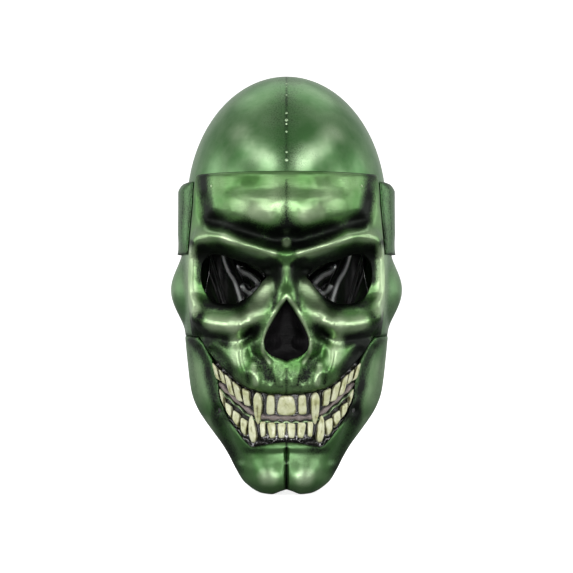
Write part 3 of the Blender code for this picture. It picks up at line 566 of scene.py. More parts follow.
def waviness(x, z):
    """The slight waves of a hand-made surface, the same on both sides."""
    x = np.abs(x)
    broad = np.sin(610 * x + 230 * z + 1.3 * np.sin(310 * z))
    crossed = np.sin(140 * x - 520 * z + 1.7 * np.sin(420 * x))
    fine = np.sin(980 * x + 840 * z + 2.0 * np.sin(500 * z))
    return 0.05 * MM * (broad + crossed + 0.6 * fine)


def face_surface(across, height):
    """Points of the face's outer surface, across from -1 to 1 between its side edges."""
    reach = edge_angle(height, FACE_EDGE_DEPTH)
    base = head_point(across * reach, height, FACE_STANDOFF)
    x, y = base[..., 0], base[..., 1]
    lift = held_relief(relief_at(FACE_STROKES, x, height, CROWN_HALF_WIDTH, CROWN_BASE), -y, height)
    side = np.maximum(np.abs(x) - CROWN_HALF_WIDTH + FACE_SIDE_RUN, 0.0) / (2 * FACE_SIDE_RUN)
    side = np.copysign(side, x)
    size = np.hypot(side, 1.0)
    from_nose = depth_in_outline(x, height, NOSE_LINE)
    lift = lift + 1.5 * MM * spot(np.abs(from_nose - 1.5 * MM), 2.6)
    lift = lift + waviness(x, height)
    lift = lift - rolled_in(np.maximum(from_nose, 0.0), 1.0 * MM)
    from_eye = depth_in_outline(np.abs(x), height, EYE_LINE)
    lift = lift - rolled_in(np.maximum(from_eye, 0.0))
    return base + np.stack([side / size * lift, -lift / size, 0 * x], axis=-1)


def face_foot(x):
    lower = mouth_height(MOUTH_UPPER, x)
    return np.where(np.abs(x) < MOUTH_HALF_WIDTH, lower, JAW_TOP + FIT_GAP)


def face_point(across, up):
    """Points of the face, up from 0 at its lower edge to 1 at its top, with rounded edges."""
    x = across * MOUTH_HALF_WIDTH
    for _ in range(5):
        foot = face_foot(x)
        x = face_surface(across, foot)[..., 0]
    height = foot + (FACE_TOP - foot) * up
    point = face_surface(across, height)
    side_angle = edge_angle(height, FACE_EDGE_DEPTH)
    reach = side_angle * CROWN_HALF_LENGTH
    edge = np.minimum(np.minimum(height - foot, FACE_TOP - height), (1 - np.abs(across)) * reach)
    drop = rolled_in(edge)
    point[..., 1] += drop * np.cos(across * side_angle)
    point[..., 0] -= drop * np.sin(across * side_angle)
    return point


def jaw_point(across, height):
    """Points of the jaw's outer surface: a half ellipse round the front, then straight sides."""
    width, centre, front, rear = read_table(JAW_SECTIONS, height / JAW_TOP)
    width, centre = width * JAW_HALF_WIDTH, centre * JAW_REACH
    front, rear = front * JAW_REACH, rear * JAW_REACH
    angle = np.clip(across / JAW_ROUND_SHARE, -1, 1) * math.pi / 2
    back = np.maximum(np.abs(across) - JAW_ROUND_SHARE, 0.0) / (1 - JAW_ROUND_SHARE)
    x = width * np.sin(angle)
    reach = centre + (front - centre) * np.cos(angle) + (rear - centre) * back
    lift = relief_at(JAW_STROKES, x, height, JAW_HALF_WIDTH, JAW_TOP)
    facing = np.cos(angle)
    rise = CLEFT_RISE * swell(np.abs(x) / CLEFT_REACH)
    rise = rise * np.maximum(1 - height / CLEFT_FADE, 0.0) ** 2
    from_mouth = np.maximum(distance_below_mouth(x, height), 0.0)
    lift = lift - rolled_in(from_mouth, 1.4 * MM)
    outward = np.copysign(0.35 * (1 - facing), x)
    return np.stack([x + lift * outward, -reach - lift * facing, height + rise], axis=-1)


def jaw_reach(x, height):
    """How far the jaw's front stands before the ears' plane, at places in the front view."""
    width, centre, front, _ = read_table(JAW_SECTIONS, height / JAW_TOP)
    share = np.minimum(np.abs(x) / (width * JAW_HALF_WIDTH), 0.999)
    return (centre + (front - centre) * np.sqrt(1 - share * share)) * JAW_REACH


def distance_below_mouth(x, height):
    """Roughly how far a place lies below the mouth's lower edge, and below the jaw's top."""
    below_top = JAW_TOP - height
    beside = np.abs(x) >= MOUTH_HALF_WIDTH + 0.5 * GUM_LAP
    return np.where(beside, below_top, np.minimum(-above_edge(MOUTH_LOWER, x, height), below_top))


def arch_point(x, z, lift=0.0):
    """Points on the front of the gums, lifted outwards, and the outward directions there."""
    share = np.minimum(np.abs(x) / ARCH_HALF_WIDTH, 0.995)
    reach = ARCH_SETBACK + ARCH_REACH * np.sqrt(1 - share * share)
    nx, ny = x / ARCH_HALF_WIDTH**2, -(reach - ARCH_SETBACK) / ARCH_REACH**2
    size = np.hypot(nx, ny)
    outward = np.stack([nx / size, ny / size, 0 * size], axis=-1)
    point = np.stack([x + 0 * z, -reach + 0 * z, z + 0 * x], axis=-1)
    return point + outward * np.asarray(lift)[..., None], outward


# Mesh tools

def trimmed_sheet(columns, rows, place, keep=None, paint=None):
    """A sheet over (across, up) from -1 to 1, without the faces where keep is negative.

    Its open edge is drawn onto the line where keep is zero. paint gives named values per point.
    """
    bm = bmesh.new()
    bmesh.ops.create_grid(bm, x_segments=columns, y_segments=rows, size=1.0)
    number = bm.verts.layers.int.new("number")
    for count, vert in enumerate(bm.verts):
        vert[number] = count
    flat = np.array([v.co[:2] for v in bm.verts])
    points = place(flat[:, 0], flat[:, 1])
    if keep is not None:
        kept = keep(points)
        gone = [f for f in bm.faces if sum(kept[v[number]] for v in f.verts) < 0]
        bmesh.ops.delete(bm, geom=gone, context="FACES")
        alive = [v[number] for v in bm.verts]
        edge = [v[number] for v in bm.verts if v.is_boundary]
        cell = np.array([2 / columns, 2 / rows])
        flat, points = drawn_to_edge(flat, points, np.array(edge), cell, place, keep)
        flat, points = flat[alive], points[alive]
    layers = paint(points) if paint else {}
    for name, values in layers.items():
        layer = bm.verts.layers.float.new(name)
        for vert, value in zip(bm.verts, values):
            vert[layer] = float(value)
    for vert, point in zip(bm.verts, points):
        vert.co = point
    bm.verts.layers.int.remove(bm.verts.layers.int["number"])
    bmesh.ops.remove_doubles(bm, verts=bm.verts, dist=1e-6)
    return bm


def drawn_to_edge(flat, points, edge, cell, place, keep):
    """Moves the sheet's edge points along it until keep is zero there."""
    near = edge[np.abs(keep(points[edge])) < 4 * MM]
    on_border = np.abs(flat[near]) > 1 - 1e-6
    for _ in range(4):
        uv = flat[near]
        value = keep(place(uv[:, 0], uv[:, 1]))
        nudge = cell * 0.1
        du = (keep(place(uv[:, 0] + nudge[0], uv[:, 1])) - value) / 0.1
        dv = (keep(place(uv[:, 0], uv[:, 1] + nudge[1])) - value) / 0.1
        du, dv = np.where(on_border[:, 0], 0, du), np.where(on_border[:, 1], 0, dv)
        size = np.maximum(du * du + dv * dv, 1e-12)
        step = np.stack([-value * du / size, -value * dv / size], axis=-1)
        flat[near] = uv + np.clip(step, -0.7, 0.7) * cell
    flat = np.clip(flat, -1, 1)
    points[near] = place(flat[near, 0], flat[near, 1])
    return flat, points


def faced_out(bm):
    """Turns an open sheet's faces away from the mask's middle line."""
    bmesh.ops.recalc_face_normals(bm, faces=bm.faces)
    total = sum(f.normal.dot(f.calc_center_median().xy.to_3d()) * f.calc_area() for f in bm.faces)
    if total < 0:
        bmesh.ops.reverse_faces(bm, faces=bm.faces)


def add_object(name, data):
    obj = bpy.data.objects.new(name, data)
    bpy.context.scene.collection.objects.link(obj)
    return obj


def smooth_mesh(bm, name, *materials):
    mesh = bpy.data.meshes.new(name)
    bm.to_mesh(mesh)
    bm.free()
    mesh.shade_smooth()
    for material in materials:
        mesh.materials.append(material)
    return mesh


def mesh_object(bm, name, material, nodes=()):
    obj = add_object(name, smooth_mesh(bm, name, material))
    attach(obj, "root")
    if nodes:
        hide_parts(*nodes)
    return obj


def walled_piece(bm, name, material, nodes, thickness):
    """A piece whose outer side is this sheet, with a wall of this thickness behind it."""
    faced_out(bm)
    piece = mesh_object(bm, name, material, nodes)
    wall = piece.modifiers.new("Wall", "SOLIDIFY")
    wall.thickness = thickness
    wall.offset = -1.0
    wall.use_even_offset = False
    piece.data.set_sharp_from_angle(angle=SHARP_ANGLE)


# Finishes

def fill(tree, node, values):
    """Gives a node's inputs these values, or links them where an output is given."""
    for label, value in values.items():
        socket = node.inputs[label]
        if isinstance(value, bpy.types.NodeSocket):
            tree.links.new(value, socket)
        elif socket.type == "RGBA":
            socket.default_value = (*value, 1.0)
        else:
            socket.default_value = value
    return node


def add_node(tree, kind, values):
    return fill(tree, tree.nodes.new("ShaderNode" + kind), values)


def new_group(name, inputs, outputs):
    """A node group, what its inputs give, and the node that takes its outputs."""
    group = bpy.data.node_groups.new(name, "ShaderNodeTree")
    for label, kind, value in inputs:
        socket = group.interface.new_socket(label, in_out="INPUT", socket_type="NodeSocket" + kind)
        socket.default_value = value
    for label, kind in outputs:
        group.interface.new_socket(label, in_out="OUTPUT", socket_type="NodeSocket" + kind)
    return group, group.nodes.new("NodeGroupInput").outputs, group.nodes.new("NodeGroupOutput")


def add_group(tree, group, values):
    node = tree.nodes.new("ShaderNodeGroup")
    node.node_tree = group
    return fill(tree, node, values).outputs


def add_noise(tree, coords, scale, detail, roughness):
    values = {"Vector": coords, "Scale": scale, "Detail": detail, "Roughness": roughness}
    return add_node(tree, "TexNoise", values).outputs["Fac"]


def add_range(tree, value, low, high, to_low=0.0, to_high=1.0):
    """The value moved from the range low to high into the range to_low to to_high."""
    values = {"Value": value, "From Min": low, "From Max": high, "To Min": to_low, "To Max": to_high}
    return add_node(tree, "MapRange", values).outputs["Result"]


def spread(tree, share, low, high):
    """A share from 0 to 1 moved into the range low to high."""
    return add_range(tree, share, 0.0, 1.0, low, high)


def add_math(tree, operation, first, second, clamp=False):
    node = add_node(tree, "Math", {0: first, 1: second})
    node.operation = operation
    node.use_clamp = clamp
    return node.outputs["Value"]


def add_mix(tree, share, first, second):
    node = tree.nodes.new("ShaderNodeMix")
    node.data_type = "RGBA"
    return fill(tree, node, {"Factor": share, "A": first, "B": second}).outputs["Result"]


def attribute(tree, name):
    node = tree.nodes.new("ShaderNodeAttribute")
    node.attribute_name = name
    return node.outputs["Fac"]


def build_surface_marks():
    """Small dents, brush marks and blotches of a hand-painted moulding."""
    group, get, ends = new_group(
        "surface_marks",
        (("Dent Scale", "Float", 420.0), ("Dent Height", "Float", 0.3), ("Blotch Scale", "Float", 45.0)),
        (("Blotch", "Float"), ("Speckle", "Float"), ("Normal", "Vector")),
    )
    coords = group.nodes.new("ShaderNodeTexCoord").outputs["Object"]
    dent = add_noise(group, coords, get["Dent Scale"], 2.0, 0.45)
    blotch = add_noise(group, coords, get["Blotch Scale"], 3.0, 0.55)
    speckle = add_noise(group, coords, 900.0, 2.0, 0.6)
    drawn_out = add_node(group, "VectorMath", {0: coords, 1: (1.0, 1.0, 6.0)})
    drawn_out.operation = "MULTIPLY"
    brush = add_noise(group, drawn_out.outputs["Vector"], 150.0, 3.0, 0.6)
    height = add_math(group, "ADD", dent, add_math(group, "MULTIPLY", blotch, 2.0))
    height = add_math(group, "ADD", height, add_math(group, "MULTIPLY", brush, 0.9))
    bump = add_node(group, "Bump", {"Distance": 0.0006, "Strength": get["Dent Height"], "Height": height})
    fill(group, ends, {
        "Blotch": add_range(group, blotch, 0.35, 0.65),
        "Speckle": add_range(group, speckle, 0.45, 0.62),
        "Normal": bump.outputs["Normal"],
    })
    return group


def build_washed_and_shaded_paint():
    """Metallic paint, darkened in the hollows by a wash and painted shade and lightened on the ridges by
    rubbing and painted highlights.
    """
    group, get, ends = new_group(
        "washed_paint",
        (("Paint", "Color", (0.1, 0.4, 0.1, 1)), ("Rubbed", "Color", (0.3, 0.6, 0.2, 1)),
         ("Wash Colour", "Color", (0.01, 0.012, 0.01, 1)), ("Wash", "Float", 0.0), ("Polish", "Float", 0.0),
         ("Blotch", "Float", 0.5), ("Speckle", "Float", 0.5), ("Base Roughness", "Float", 0.3)),
        (("Colour", "Color"), ("Roughness", "Float"), ("Coat Weight", "Float")),
    )
    blotch, speckle = get["Blotch"], get["Speckle"]
    patchy = add_math(group, "ADD", spread(group, blotch, -0.16, 0.16), spread(group, speckle, -0.12, 0.12))
    wash = add_range(group, add_math(group, "ADD", get["Wash"], patchy), 0.16, 0.9)
    polish = add_math(group, "MULTIPLY", get["Polish"], spread(group, blotch, 0.55, 1.1))
    paint = add_mix(group, spread(group, blotch, 0.0, 0.16), get["Paint"], get["Rubbed"])
    colour = add_mix(group, add_math(group, "MULTIPLY", polish, 0.85, clamp=True), paint, get["Rubbed"])
    rough = add_math(group, "ADD", get["Base Roughness"], add_math(group, "MULTIPLY", speckle, 0.06))
    fill(group, ends, {
        "Colour": add_mix(group, wash, colour, get["Wash Colour"]),
        "Roughness": add_math(group, "ADD", rough, add_math(group, "MULTIPLY", wash, 0.1)),
        "Coat Weight": spread(group, wash, 0.3, 0.04),
    })
    return group


SURFACE_MARKS = build_surface_marks()
WASHED_AND_SHADED_PAINT = build_washed_and_shaded_paint()


def new_material(name):
    material = bpy.data.materials.new(name)
    material.use_nodes = True
    tree = material.node_tree
    return material, tree, tree.nodes["Principled BSDF"]


def add_marks(tree, shader, dent_scale, dent_height, blotch_scale):
    marks = add_group(tree, SURFACE_MARKS, {
        "Dent Scale": dent_scale, "Dent Height": dent_height, "Blotch Scale": blotch_scale,
    })
    fill(tree, shader, {"Normal": marks["Normal"]})
    return marks["Blotch"], marks["Speckle"]


def green_paint(name, paint, rubbed_and_highlight, dent_height, roughness=0.3):
    material, tree, shader = new_material(name)
    blotch, speckle = add_marks(tree, shader, 95.0, dent_height, 38.0)
    washed_and_shaded = add_group(tree, WASHED_AND_SHADED_PAINT, {
        "Paint": paint, "Rubbed": rubbed_and_highlight, "Base Roughness": roughness, "Blotch": blotch,
        "Speckle": speckle, "Wash": attribute(tree, "wash"), "Polish": attribute(tree, "polish"),
    })
    fill(tree, shader, {
        "Base Color": washed_and_shaded["Colour"], "Roughness": washed_and_shaded["Roughness"],
        "Coat Weight": washed_and_shaded["Coat Weight"], "Coat Roughness": 0.25,
        "Metallic": 0.92, "Specular Tint": (0.75, 0.80, 0.75),
    })
    return material


def glossy_black(name, roughness, dent_height, coat, gloss=0.5, crest=None):
    """Black plastic. Where a crest attribute is named, it is made bright metal there: a painted glint along
    the crests.
    """
    material, tree, shader = new_material(name)
    blotch, _ = add_marks(tree, shader, 260.0, dent_height, 60.0)
    colour = add_mix(tree, blotch, (0.004, 0.004, 0.004), (0.012, 0.011, 0.012))
    rough = spread(tree, blotch, roughness, roughness * 1.8)
    fill(tree, shader, {
        "Specular IOR Level": gloss, "Coat Weight": coat, "Coat IOR": 1.7, "Coat Roughness": roughness,
    })
    if crest:
        painted_glint = attribute(tree, crest)
        colour = add_mix(tree, painted_glint, colour, (0.95, 0.95, 0.97))
        rough = add_math(tree, "ADD", rough, spread(tree, painted_glint, 0.0, 0.30))
        fill(tree, shader, {"Metallic": painted_glint, "Coat Weight": spread(tree, painted_glint, coat, 0.0)})
    fill(tree, shader, {"Base Color": colour, "Roughness": rough})
    return material


def tooth_enamel():
    material, tree, shader = new_material("tooth_ivory")
    blotch, speckle = add_marks(tree, shader, 600.0, 0.25, 160.0)
    # Browner and then near black where the tooth darkening is strong: darker roots, a line down the middle
    # and painted shade down the sides.
    stain = add_math(tree, "ADD", attribute(tree, "stain"), spread(tree, blotch, -0.25, 0.25))
    pale = add_mix(tree, blotch, (0.72, 0.74, 0.52), (0.50, 0.52, 0.25))
    brown = add_mix(tree, add_range(tree, stain, 0.25, 0.75), pale, (0.15, 0.14, 0.055))
    dark = add_mix(tree, add_range(tree, stain, 0.75, 1.1), brown, (0.010, 0.012, 0.007))
    fill(tree, shader, {
        "Base Color": dark, "Roughness": spread(tree, speckle, 0.26, 0.4),
        "Coat Weight": 0.4, "Coat Roughness": 0.12,
    })
    return material


def bite_paint():
    material, tree, shader = new_material("bite_grey")
    blotch, speckle = add_marks(tree, shader, 500.0, 0.8, 110.0)
    grey = add_mix(tree, blotch, (0.30, 0.25, 0.235), (0.14, 0.115, 0.11))
    fill(tree, shader, {"Base Color": grey, "Roughness": spread(tree, speckle, 0.3, 0.5)})
    return material


# The second colour of each green is the rubbed paint, also used for the painted highlights.
FACE_GREEN = green_paint("green_face", (0.082, 0.215, 0.052), (0.66, 0.83, 0.52), 0.34, roughness=0.32)
SHELL_GREEN = green_paint("green_shell", (0.076, 0.205, 0.062), (0.62, 0.80, 0.52), 0.14)
JAW_GREEN = green_paint("green_jaw", (0.075, 0.195, 0.055), (0.58, 0.76, 0.48), 0.16, roughness=0.4)
GUM_BLACK = glossy_black("gum_black", 0.16, 0.4, 1.0)
NOSE_BLACK = glossy_black("nose_black", 0.30, 0.6, 0.0, gloss=0.06)
LINING_BLACK = glossy_black("lining_black", 0.12, 0.1, 0.5, gloss=0.3, crest="crest")
TOOTH_IVORY = tooth_enamel()
BITE_GREY = bite_paint()


# Shells

def opening_side(points):
    """Positive on the hood, negative in its face opening, under its neck arch and below z = 0."""
    y, z = points[:, 1], points[:, 2]
    front = y + FACE_EDGE_DEPTH + FACE_LAP_SIDE
    face = np.maximum(front, z - (FACE_TOP - FACE_LAP_TOP))
    seat = JAW_TOP + FIT_GAP
    span = NECK_ARCH_REAR - NECK_ARCH_FRONT
    run = np.maximum(y - NECK_ARCH_FRONT, 0.0) / span
    arch = (np.hypot(run, np.maximum(z, 0.0) / seat) - 1) * 0.5 * (seat + span)
    arch = np.where(y < NECK_ARCH_FRONT, z - seat, arch)
    return np.minimum(np.minimum(face, arch), z)


def make_hood():
    foot = HEAD_SECTIONS[0][0] * CROWN_BASE
    crown_share = 0.4

    def place(across, up):
        share = (up + 1) / 2
        lower = foot + (CROWN_BASE - foot) * share / (1 - crown_share)
        rise = np.maximum(share - 1 + crown_share, 0.0) / crown_share * math.pi / 2
        height = np.where(share < 1 - crown_share, lower, CROWN_BASE + CROWN_RISE * np.sin(rise))
        return head_point(across * math.pi, height)

    def paint(points):
        x, y, z = points.T
        # Painted shade: a broad dark band down the dome beside its thin dark seam line, along the face's
        # lap, along the jaw's top and round the ear bump. Painted highlights: the ear bump, the dome lobes
        # and the temples.
        seam = 0.30 * spot(np.abs(x), 1.2) + 0.38 * spot(np.abs(x), 22)
        seam = seam * smooth_step((z - CROWN_BASE) / (40 * MM))
        lap = 0.45 * spot(np.abs(y + FACE_EDGE_DEPTH + 2 * MM), 9) * (z < FACE_TOP)
        skirt = 0.5 * spot(np.abs(z - JAW_TOP), 6) * (y < NECK_ARCH_FRONT)
        ring = np.hypot(z - EAR_HEIGHT, y) / EAR_RADIUS
        ear = 0.35 * swell(np.abs(ring - 1.0) / 0.5) * (np.abs(x) > 0.8 * CROWN_HALF_WIDTH)
        dome = 0.5 * spot(distance_to_line(np.abs(x), z, DOME_SHINE), 13) * (y < 0)
        temple = 0.7 * spot(distance_to_line(y, z, TEMPLE_SHINE), 13) * (np.abs(x) > 0.7 * CROWN_HALF_WIDTH)
        return {
            "wash": np.clip(seam + lap + skirt + ear, 0, 1),
            "polish": 0.2 * swell(ring / 0.9) + dome + temple,
        }

    bm = trimmed_sheet(176, 120, place, opening_side, paint)
    walled_piece(bm, "hood_shell", SHELL_GREEN, ["hood"], SHELL_WALL)


def make_face():
    def place(across, up):
        return face_point(across, (up + 1) / 2)

    def keep(points):
        x, _, z = points.T
        return np.minimum(depth_in_outline(np.abs(x), z, EYE_LINE), depth_in_outline(x, z, NOSE_LINE))

    def paint(points):
        return painted(points, FACE_WASH_AND_SHADE, FACE_POLISH_AND_HIGHLIGHT, CROWN_HALF_WIDTH, CROWN_BASE, 0.9)

    bm = trimmed_sheet(220, 150, place, keep, paint)
    for _ in range(FACE_SMOOTHING_ROUNDS):
        bmesh.ops.smooth_vert(bm, verts=[v for v in bm.verts if not v.is_boundary], factor=0.5,
                              use_axis_x=True, use_axis_y=True, use_axis_z=True)
    walled_piece(bm, "skull_face", FACE_GREEN, ["face_plate"], SHELL_WALL)


def make_jaw():
    def place(across, up):
        return jaw_point(across, JAW_TOP * ((up + 1) / 2) ** 1.3)

    def keep(points):
        return distance_below_mouth(points[:, 0], points[:, 2])

    def paint(points):
        return painted(points, JAW_WASH_AND_SHADE, JAW_POLISH_AND_HIGHLIGHT, JAW_HALF_WIDTH, JAW_TOP, 0.6)

    bm = trimmed_sheet(220, 110, place, keep, paint)
    walled_piece(bm, "lower_jaw", JAW_GREEN, ["jaw"], SHELL_WALL)


def make_side_pads():
    for label, side in MIRRORED:
        def place(across, up, side=side):
            y = PAD_FRONT + (PAD_REAR - PAD_FRONT) * (across + 1) / 2
            height = PAD_FOOT + (PAD_TOP - PAD_FOOT) * (up + 1) / 2
            near_ear = np.maximum(1 - np.hypot(height - EAR_HEIGHT, y) / (1.3 * EAR_RADIUS), 0.0)
            clearance = 1.5 * FIT_GAP + 0.5 * EAR_SWELL * near_ear
            return head_point(side * edge_angle(height, -y), height, clearance)

        def paint(points):
            _, y, z = points.T
            # Darker all over, with painted shade towards the top and bottom edges and along the front edge
            # against the face; the dashes are stitch marks.
            rim = 0.50 + 0.3 * spot(np.minimum(z - PAD_FOOT, PAD_TOP - z), 4)
            dashes = 0.9 * spot(np.abs(y - PAD_FRONT - 9 * MM), 1.8) * (np.sin(z * 1500) > -0.2)
            front = 0.7 * spot(np.abs(y - PAD_FRONT), 5)
            return {"wash": np.maximum.reduce([rim, dashes, front]), "polish": 0 * y}

        bm = trimmed_sheet(88, 60, place, None, paint)
        bmesh.ops.recalc_face_normals(bm, faces=bm.faces)
        made = bmesh.ops.extrude_face_region(bm, geom=bm.faces[:])["geom"]
        for vert in [part for part in made if isinstance(part, bmesh.types.BMVert)]:
            end = PAD_REAR if vert.co.y > PAD_MIDDLE else PAD_FRONT
            away = (vert.co.y - PAD_MIDDLE) / (end - PAD_MIDDLE)
            room = max(PAD_HALF_SPAN - abs(vert.co.x), PAD_EDGE)
            from_end = min(0.6 * (vert.co.z - PAD_FOOT), 1.5 * (PAD_TOP - vert.co.z)) / (10 * MM)
            room = PAD_EDGE + (room - PAD_EDGE) * math.sqrt(min(max(from_end, 0.0), 1.0))
            vert.co.x += side * (room + (PAD_EDGE - room) * min(away, 1.0) ** 2)
        bmesh.ops.recalc_face_normals(bm, faces=bm.faces)
        pad = mesh_object(bm, f"temple_pad_{label}", SHELL_GREEN, [f"side_pad_{label}"])
        rounded = pad.modifiers.new("Round", "BEVEL")
        rounded.width = PAD_ROUND
        rounded.segments = 3
        rounded.angle_limit = SHARP_ANGLE
        pad.data.set_sharp_from_angle(angle=SHARP_ANGLE)


def make_lining():
    inset = SHELL_WALL + 2 * FIT_GAP

    def place(across, up):
        angle = math.pi + across * LINING_SWEEP / 2
        height = LINING_FOOT + (LINING_TOP - LINING_FOOT) * (up + 1) / 2
        flat = head_point(angle, height, -inset)
        fold = relief_at(LINING_STROKES, flat[..., 0], height, CROWN_HALF_WIDTH, CROWN_BASE)
        slack = LINING_SLACK * (height - LINING_FOOT) * (1 - (flat[..., 0] / CROWN_HALF_WIDTH) ** 2)
        return head_point(angle, height, -inset - np.minimum(fold, 1.2 * LINING_FOLD) - slack)

    def paint(points):
        # The crests of the first four folds are made bright metal: painted glints.
        crests = [(name, places, CREST_REACH, 1.0, 3) for name, places, *_ in LINING_STROKES[:4]]
        x, _, z = points.T
        return {"crest": paint_at(crests, x, z, CROWN_HALF_WIDTH, CROWN_BASE)}

    bm = trimmed_sheet(220, 130, place, None, paint)
    walled_piece(bm, "crushed_lining", LINING_BLACK, ["hood_lining"], LINING_WALL)


# Mouth and nose

def gum_side(points):
    """Positive inside the mouth's outline grown by the gums' lap."""
    x, _, z = points.T
    inside = np.minimum(above_edge(MOUTH_LOWER, x, z), -above_edge(MOUTH_UPPER, x, z))
    return np.minimum(inside, 2 * GUM_LAP) + GUM_LAP


def tooth_roots():
    """Places of all the roots: x, z, and -1 for the upper row or 1 for the lower."""
    for rows, edge, turn in TOOTH_ROWS:
        for _, across, lift, *_ in rows:
            x = across * MOUTH_HALF_WIDTH
            yield x, float(mouth_height(edge, x)) + turn * lift * TOOTH_LENGTH, turn


def make_gums():
    low, high = MOUTH_FLOOR - 2 * GUM_LAP, MOUTH_TOP + 2 * GUM_LAP
    roots = list(tooth_roots())

    def place(across, up):
        x = ARCH_HALF_WIDTH * np.sin(across * math.pi / 2 * ARCH_ROUND_SHARE)
        z = low + (high - low) * (up + 1) / 2
        lift = 0 * x
        for root_x, root_z, turn in roots:
            away = np.hypot((np.abs(x) - root_x) / 4.0, (z - root_z + turn * 1.0 * MM) / 3.0) / MM
            lift = np.maximum(lift, 2.2 * MM * swell(away))
        point = arch_point(x, z, lift)[0]
        to_lip = smooth_step((mouth_height(MOUTH_LOWER, x) + 1.5 * MM - z) / (3.5 * MM))
        shelf = -jaw_reach(x, z) + SHELL_WALL + 2 * FIT_GAP
        point[..., 1] += to_lip * np.minimum(shelf - point[..., 1], 0.0)
        return point

    bm = trimmed_sheet(220, 90, place, gum_side)
    walled_piece(bm, "gums", GUM_BLACK, ["gum_plate"], GUM_WALL)


def make_bite_strip():
    reach = BITE_LINE[-1][0] * MOUTH_HALF_WIDTH

    def place(across, up):
        x = reach * np.sin(across * math.pi / 2)
        z = mouth_height(BITE_LINE, x)
        half = STRIP_HEIGHT / 2 * (0.75 + 0.25 * np.cos(np.abs(x) * 640))
        ripple = 0.5 * MM * np.cos(np.abs(x) * 900 + 1) * np.cos(up * 1.4)
        return arch_point(x, z + up * half, 2.4 * MM * (1 - up * up) ** 0.5 + ripple)[0]

    bm = trimmed_sheet(160, 10, place)
    walled_piece(bm, "bite_line", BITE_GREY, ["bite_strip"], STRIP_THICKNESS)


def make_gum_ridge():
    """The thin green edge of the lower gum, just under the bite line."""
    reach = BITE_LINE[-1][0] * MOUTH_HALF_WIDTH * 0.94

    def place(across, up):
        x = reach * np.sin(across * math.pi / 2)
        z = mouth_height(BITE_LINE, x) - STRIP_HEIGHT / 2 - 0.9 * MM
        scallop = 0.5 * MM * np.cos(np.abs(x) * SCALLOP_TURNS)
        return arch_point(x, z + scallop + up * 1.3 * MM, 2.6 * MM * (1 - up * up) ** 0.5 + 0.3 * MM)[0]

    def paint(points):
        # Painted shade in the dips between the scallops, and lighter paint all along.
        x = np.abs(points[:, 0])
        return {"wash": 0.35 + 0.35 * np.cos(x * SCALLOP_TURNS + 2.5), "polish": 0.6 + 0 * x}

    bm = trimmed_sheet(220, 10, place, None, paint)
    walled_piece(bm, "lower_gum_ridge", FACE_GREEN, (), RIDGE_WALL)


def make_tooth(name, x, ends, widths, lean):
    """A rounded tooth with faint ridges down its front, darker at the root and in a line down its middle,
    with painted shade down its sides.
    """
    _, leaning = arch_point(np.array(x), np.array(0.0))
    base, outward = arch_point(np.array(x - leaning[0] * TOOTH_DEPTH / 2), np.array(0.0), FIT_GAP)
    base, outward = Vector(base), Vector(outward)
    sideways = Vector((-outward.y, outward.x, 0.0))
    stretch = 1 / abs(outward.y)
    root_width, tip_width = widths
    fang = tip_width < 0.4 * root_width
    bm = bmesh.new()
    bmesh.ops.create_cube(bm, size=2.0)
    bmesh.ops.subdivide_edges(bm, edges=bm.edges[:], cuts=11, use_grid_fill=True)
    stain = bm.verts.layers.float.new("stain")
    for vert in bm.verts:
        a, b, c = vert.co
        size = (abs(a) ** TOOTH_SQUARENESS + abs(b) ** TOOTH_SQUARENESS + abs(c) ** TOOTH_SQUARENESS)
        size = size ** (1 / TOOTH_SQUARENESS)
        a, b, up = a / size, b / size, (c / size + 1) / 2
        if fang:
            bulb = math.sin(min(up * 2.2 + 0.35, 1.0) * math.pi / 2)
            width = root_width * bulb * max(1 - up**2.4, 0.0) ** 0.72 + tip_width * up**3
            depth = TOOTH_DEPTH * (1 - 0.6 * up**2)
        else:
            width = root_width + (tip_width - root_width) * math.sin(up * math.pi / 2)
            depth = TOOTH_DEPTH * (1 - 0.25 * up)
        ridge = 0.22 * MM * math.cos(a * 8.0) * (1 - up) if not fang else 0.0
        front = (1 - b) / 2
        across = (a * width / 2 + (up - 0.5) * lean) * stretch
        place = base + sideways * across + outward * (front * (depth + ridge) - 0.5 * MM * a * a * front)
        root, tip = ends(place.x)
        place.z = root + (tip - root) * up
        vert.co = place
        # Darker at the root and in a line down the middle; the darker sides are painted shade.
        slot = math.exp(-(a / 0.3) ** 2) * swell(abs(up - 0.55) / 0.45)
        edge = max(abs(a) - 0.7, 0.0) / 0.3
        slot_darkening = (0.55 if fang else 0.25) * slot
        vert[stain] = 0.6 * max(1 - 6 * up, 0.0) + 0.8 * edge**2 + slot_darkening + 0.2 * up**3
    bmesh.ops.recalc_face_normals(bm, faces=bm.faces)
    mesh_object(bm, f"{name}_crown", TOOTH_IVORY, [name])


def make_teeth():
    """Both rows: each root follows the mouth's edge, each tip half of its slope."""
    for rows, edge, turn in TOOTH_ROWS:
        for name, across, lift, length, root_width, tip_width, lean in rows:
            middle = across * MOUTH_HALF_WIDTH
            start = float(mouth_height(edge, middle))

            def ends(x, edge=edge, turn=turn, lift=lift, length=length, start=start):
                rise = float(mouth_height(edge, x)) - start
                root = start + rise + turn * lift * TOOTH_LENGTH
                return root, start + rise / 2 + turn * (lift + length) * TOOTH_LENGTH

            widths = (root_width * TOOTH_WIDTH, tip_width * TOOTH_WIDTH)
            if across == 0:
                make_tooth(name, 0.0, ends, widths, 0.0)
                continue
            for label, side in MIRRORED:
                lean_out = side * lean * TOOTH_LENGTH
                make_tooth(f"{name}_{label}", side * middle, ends, widths, lean_out)


def face_front(x, z):
    """How far the face stands before the ears' plane, at places in the front view."""
    width, length, centre = head_section(z)
    width, length = width + FACE_STANDOFF, length + FACE_STANDOFF
    share = np.minimum(np.abs(x) / width, 0.999)
    relief = relief_at(FACE_STROKES, x, z, CROWN_HALF_WIDTH, CROWN_BASE)
    return length * np.sqrt(1 - share * share) - centre + relief


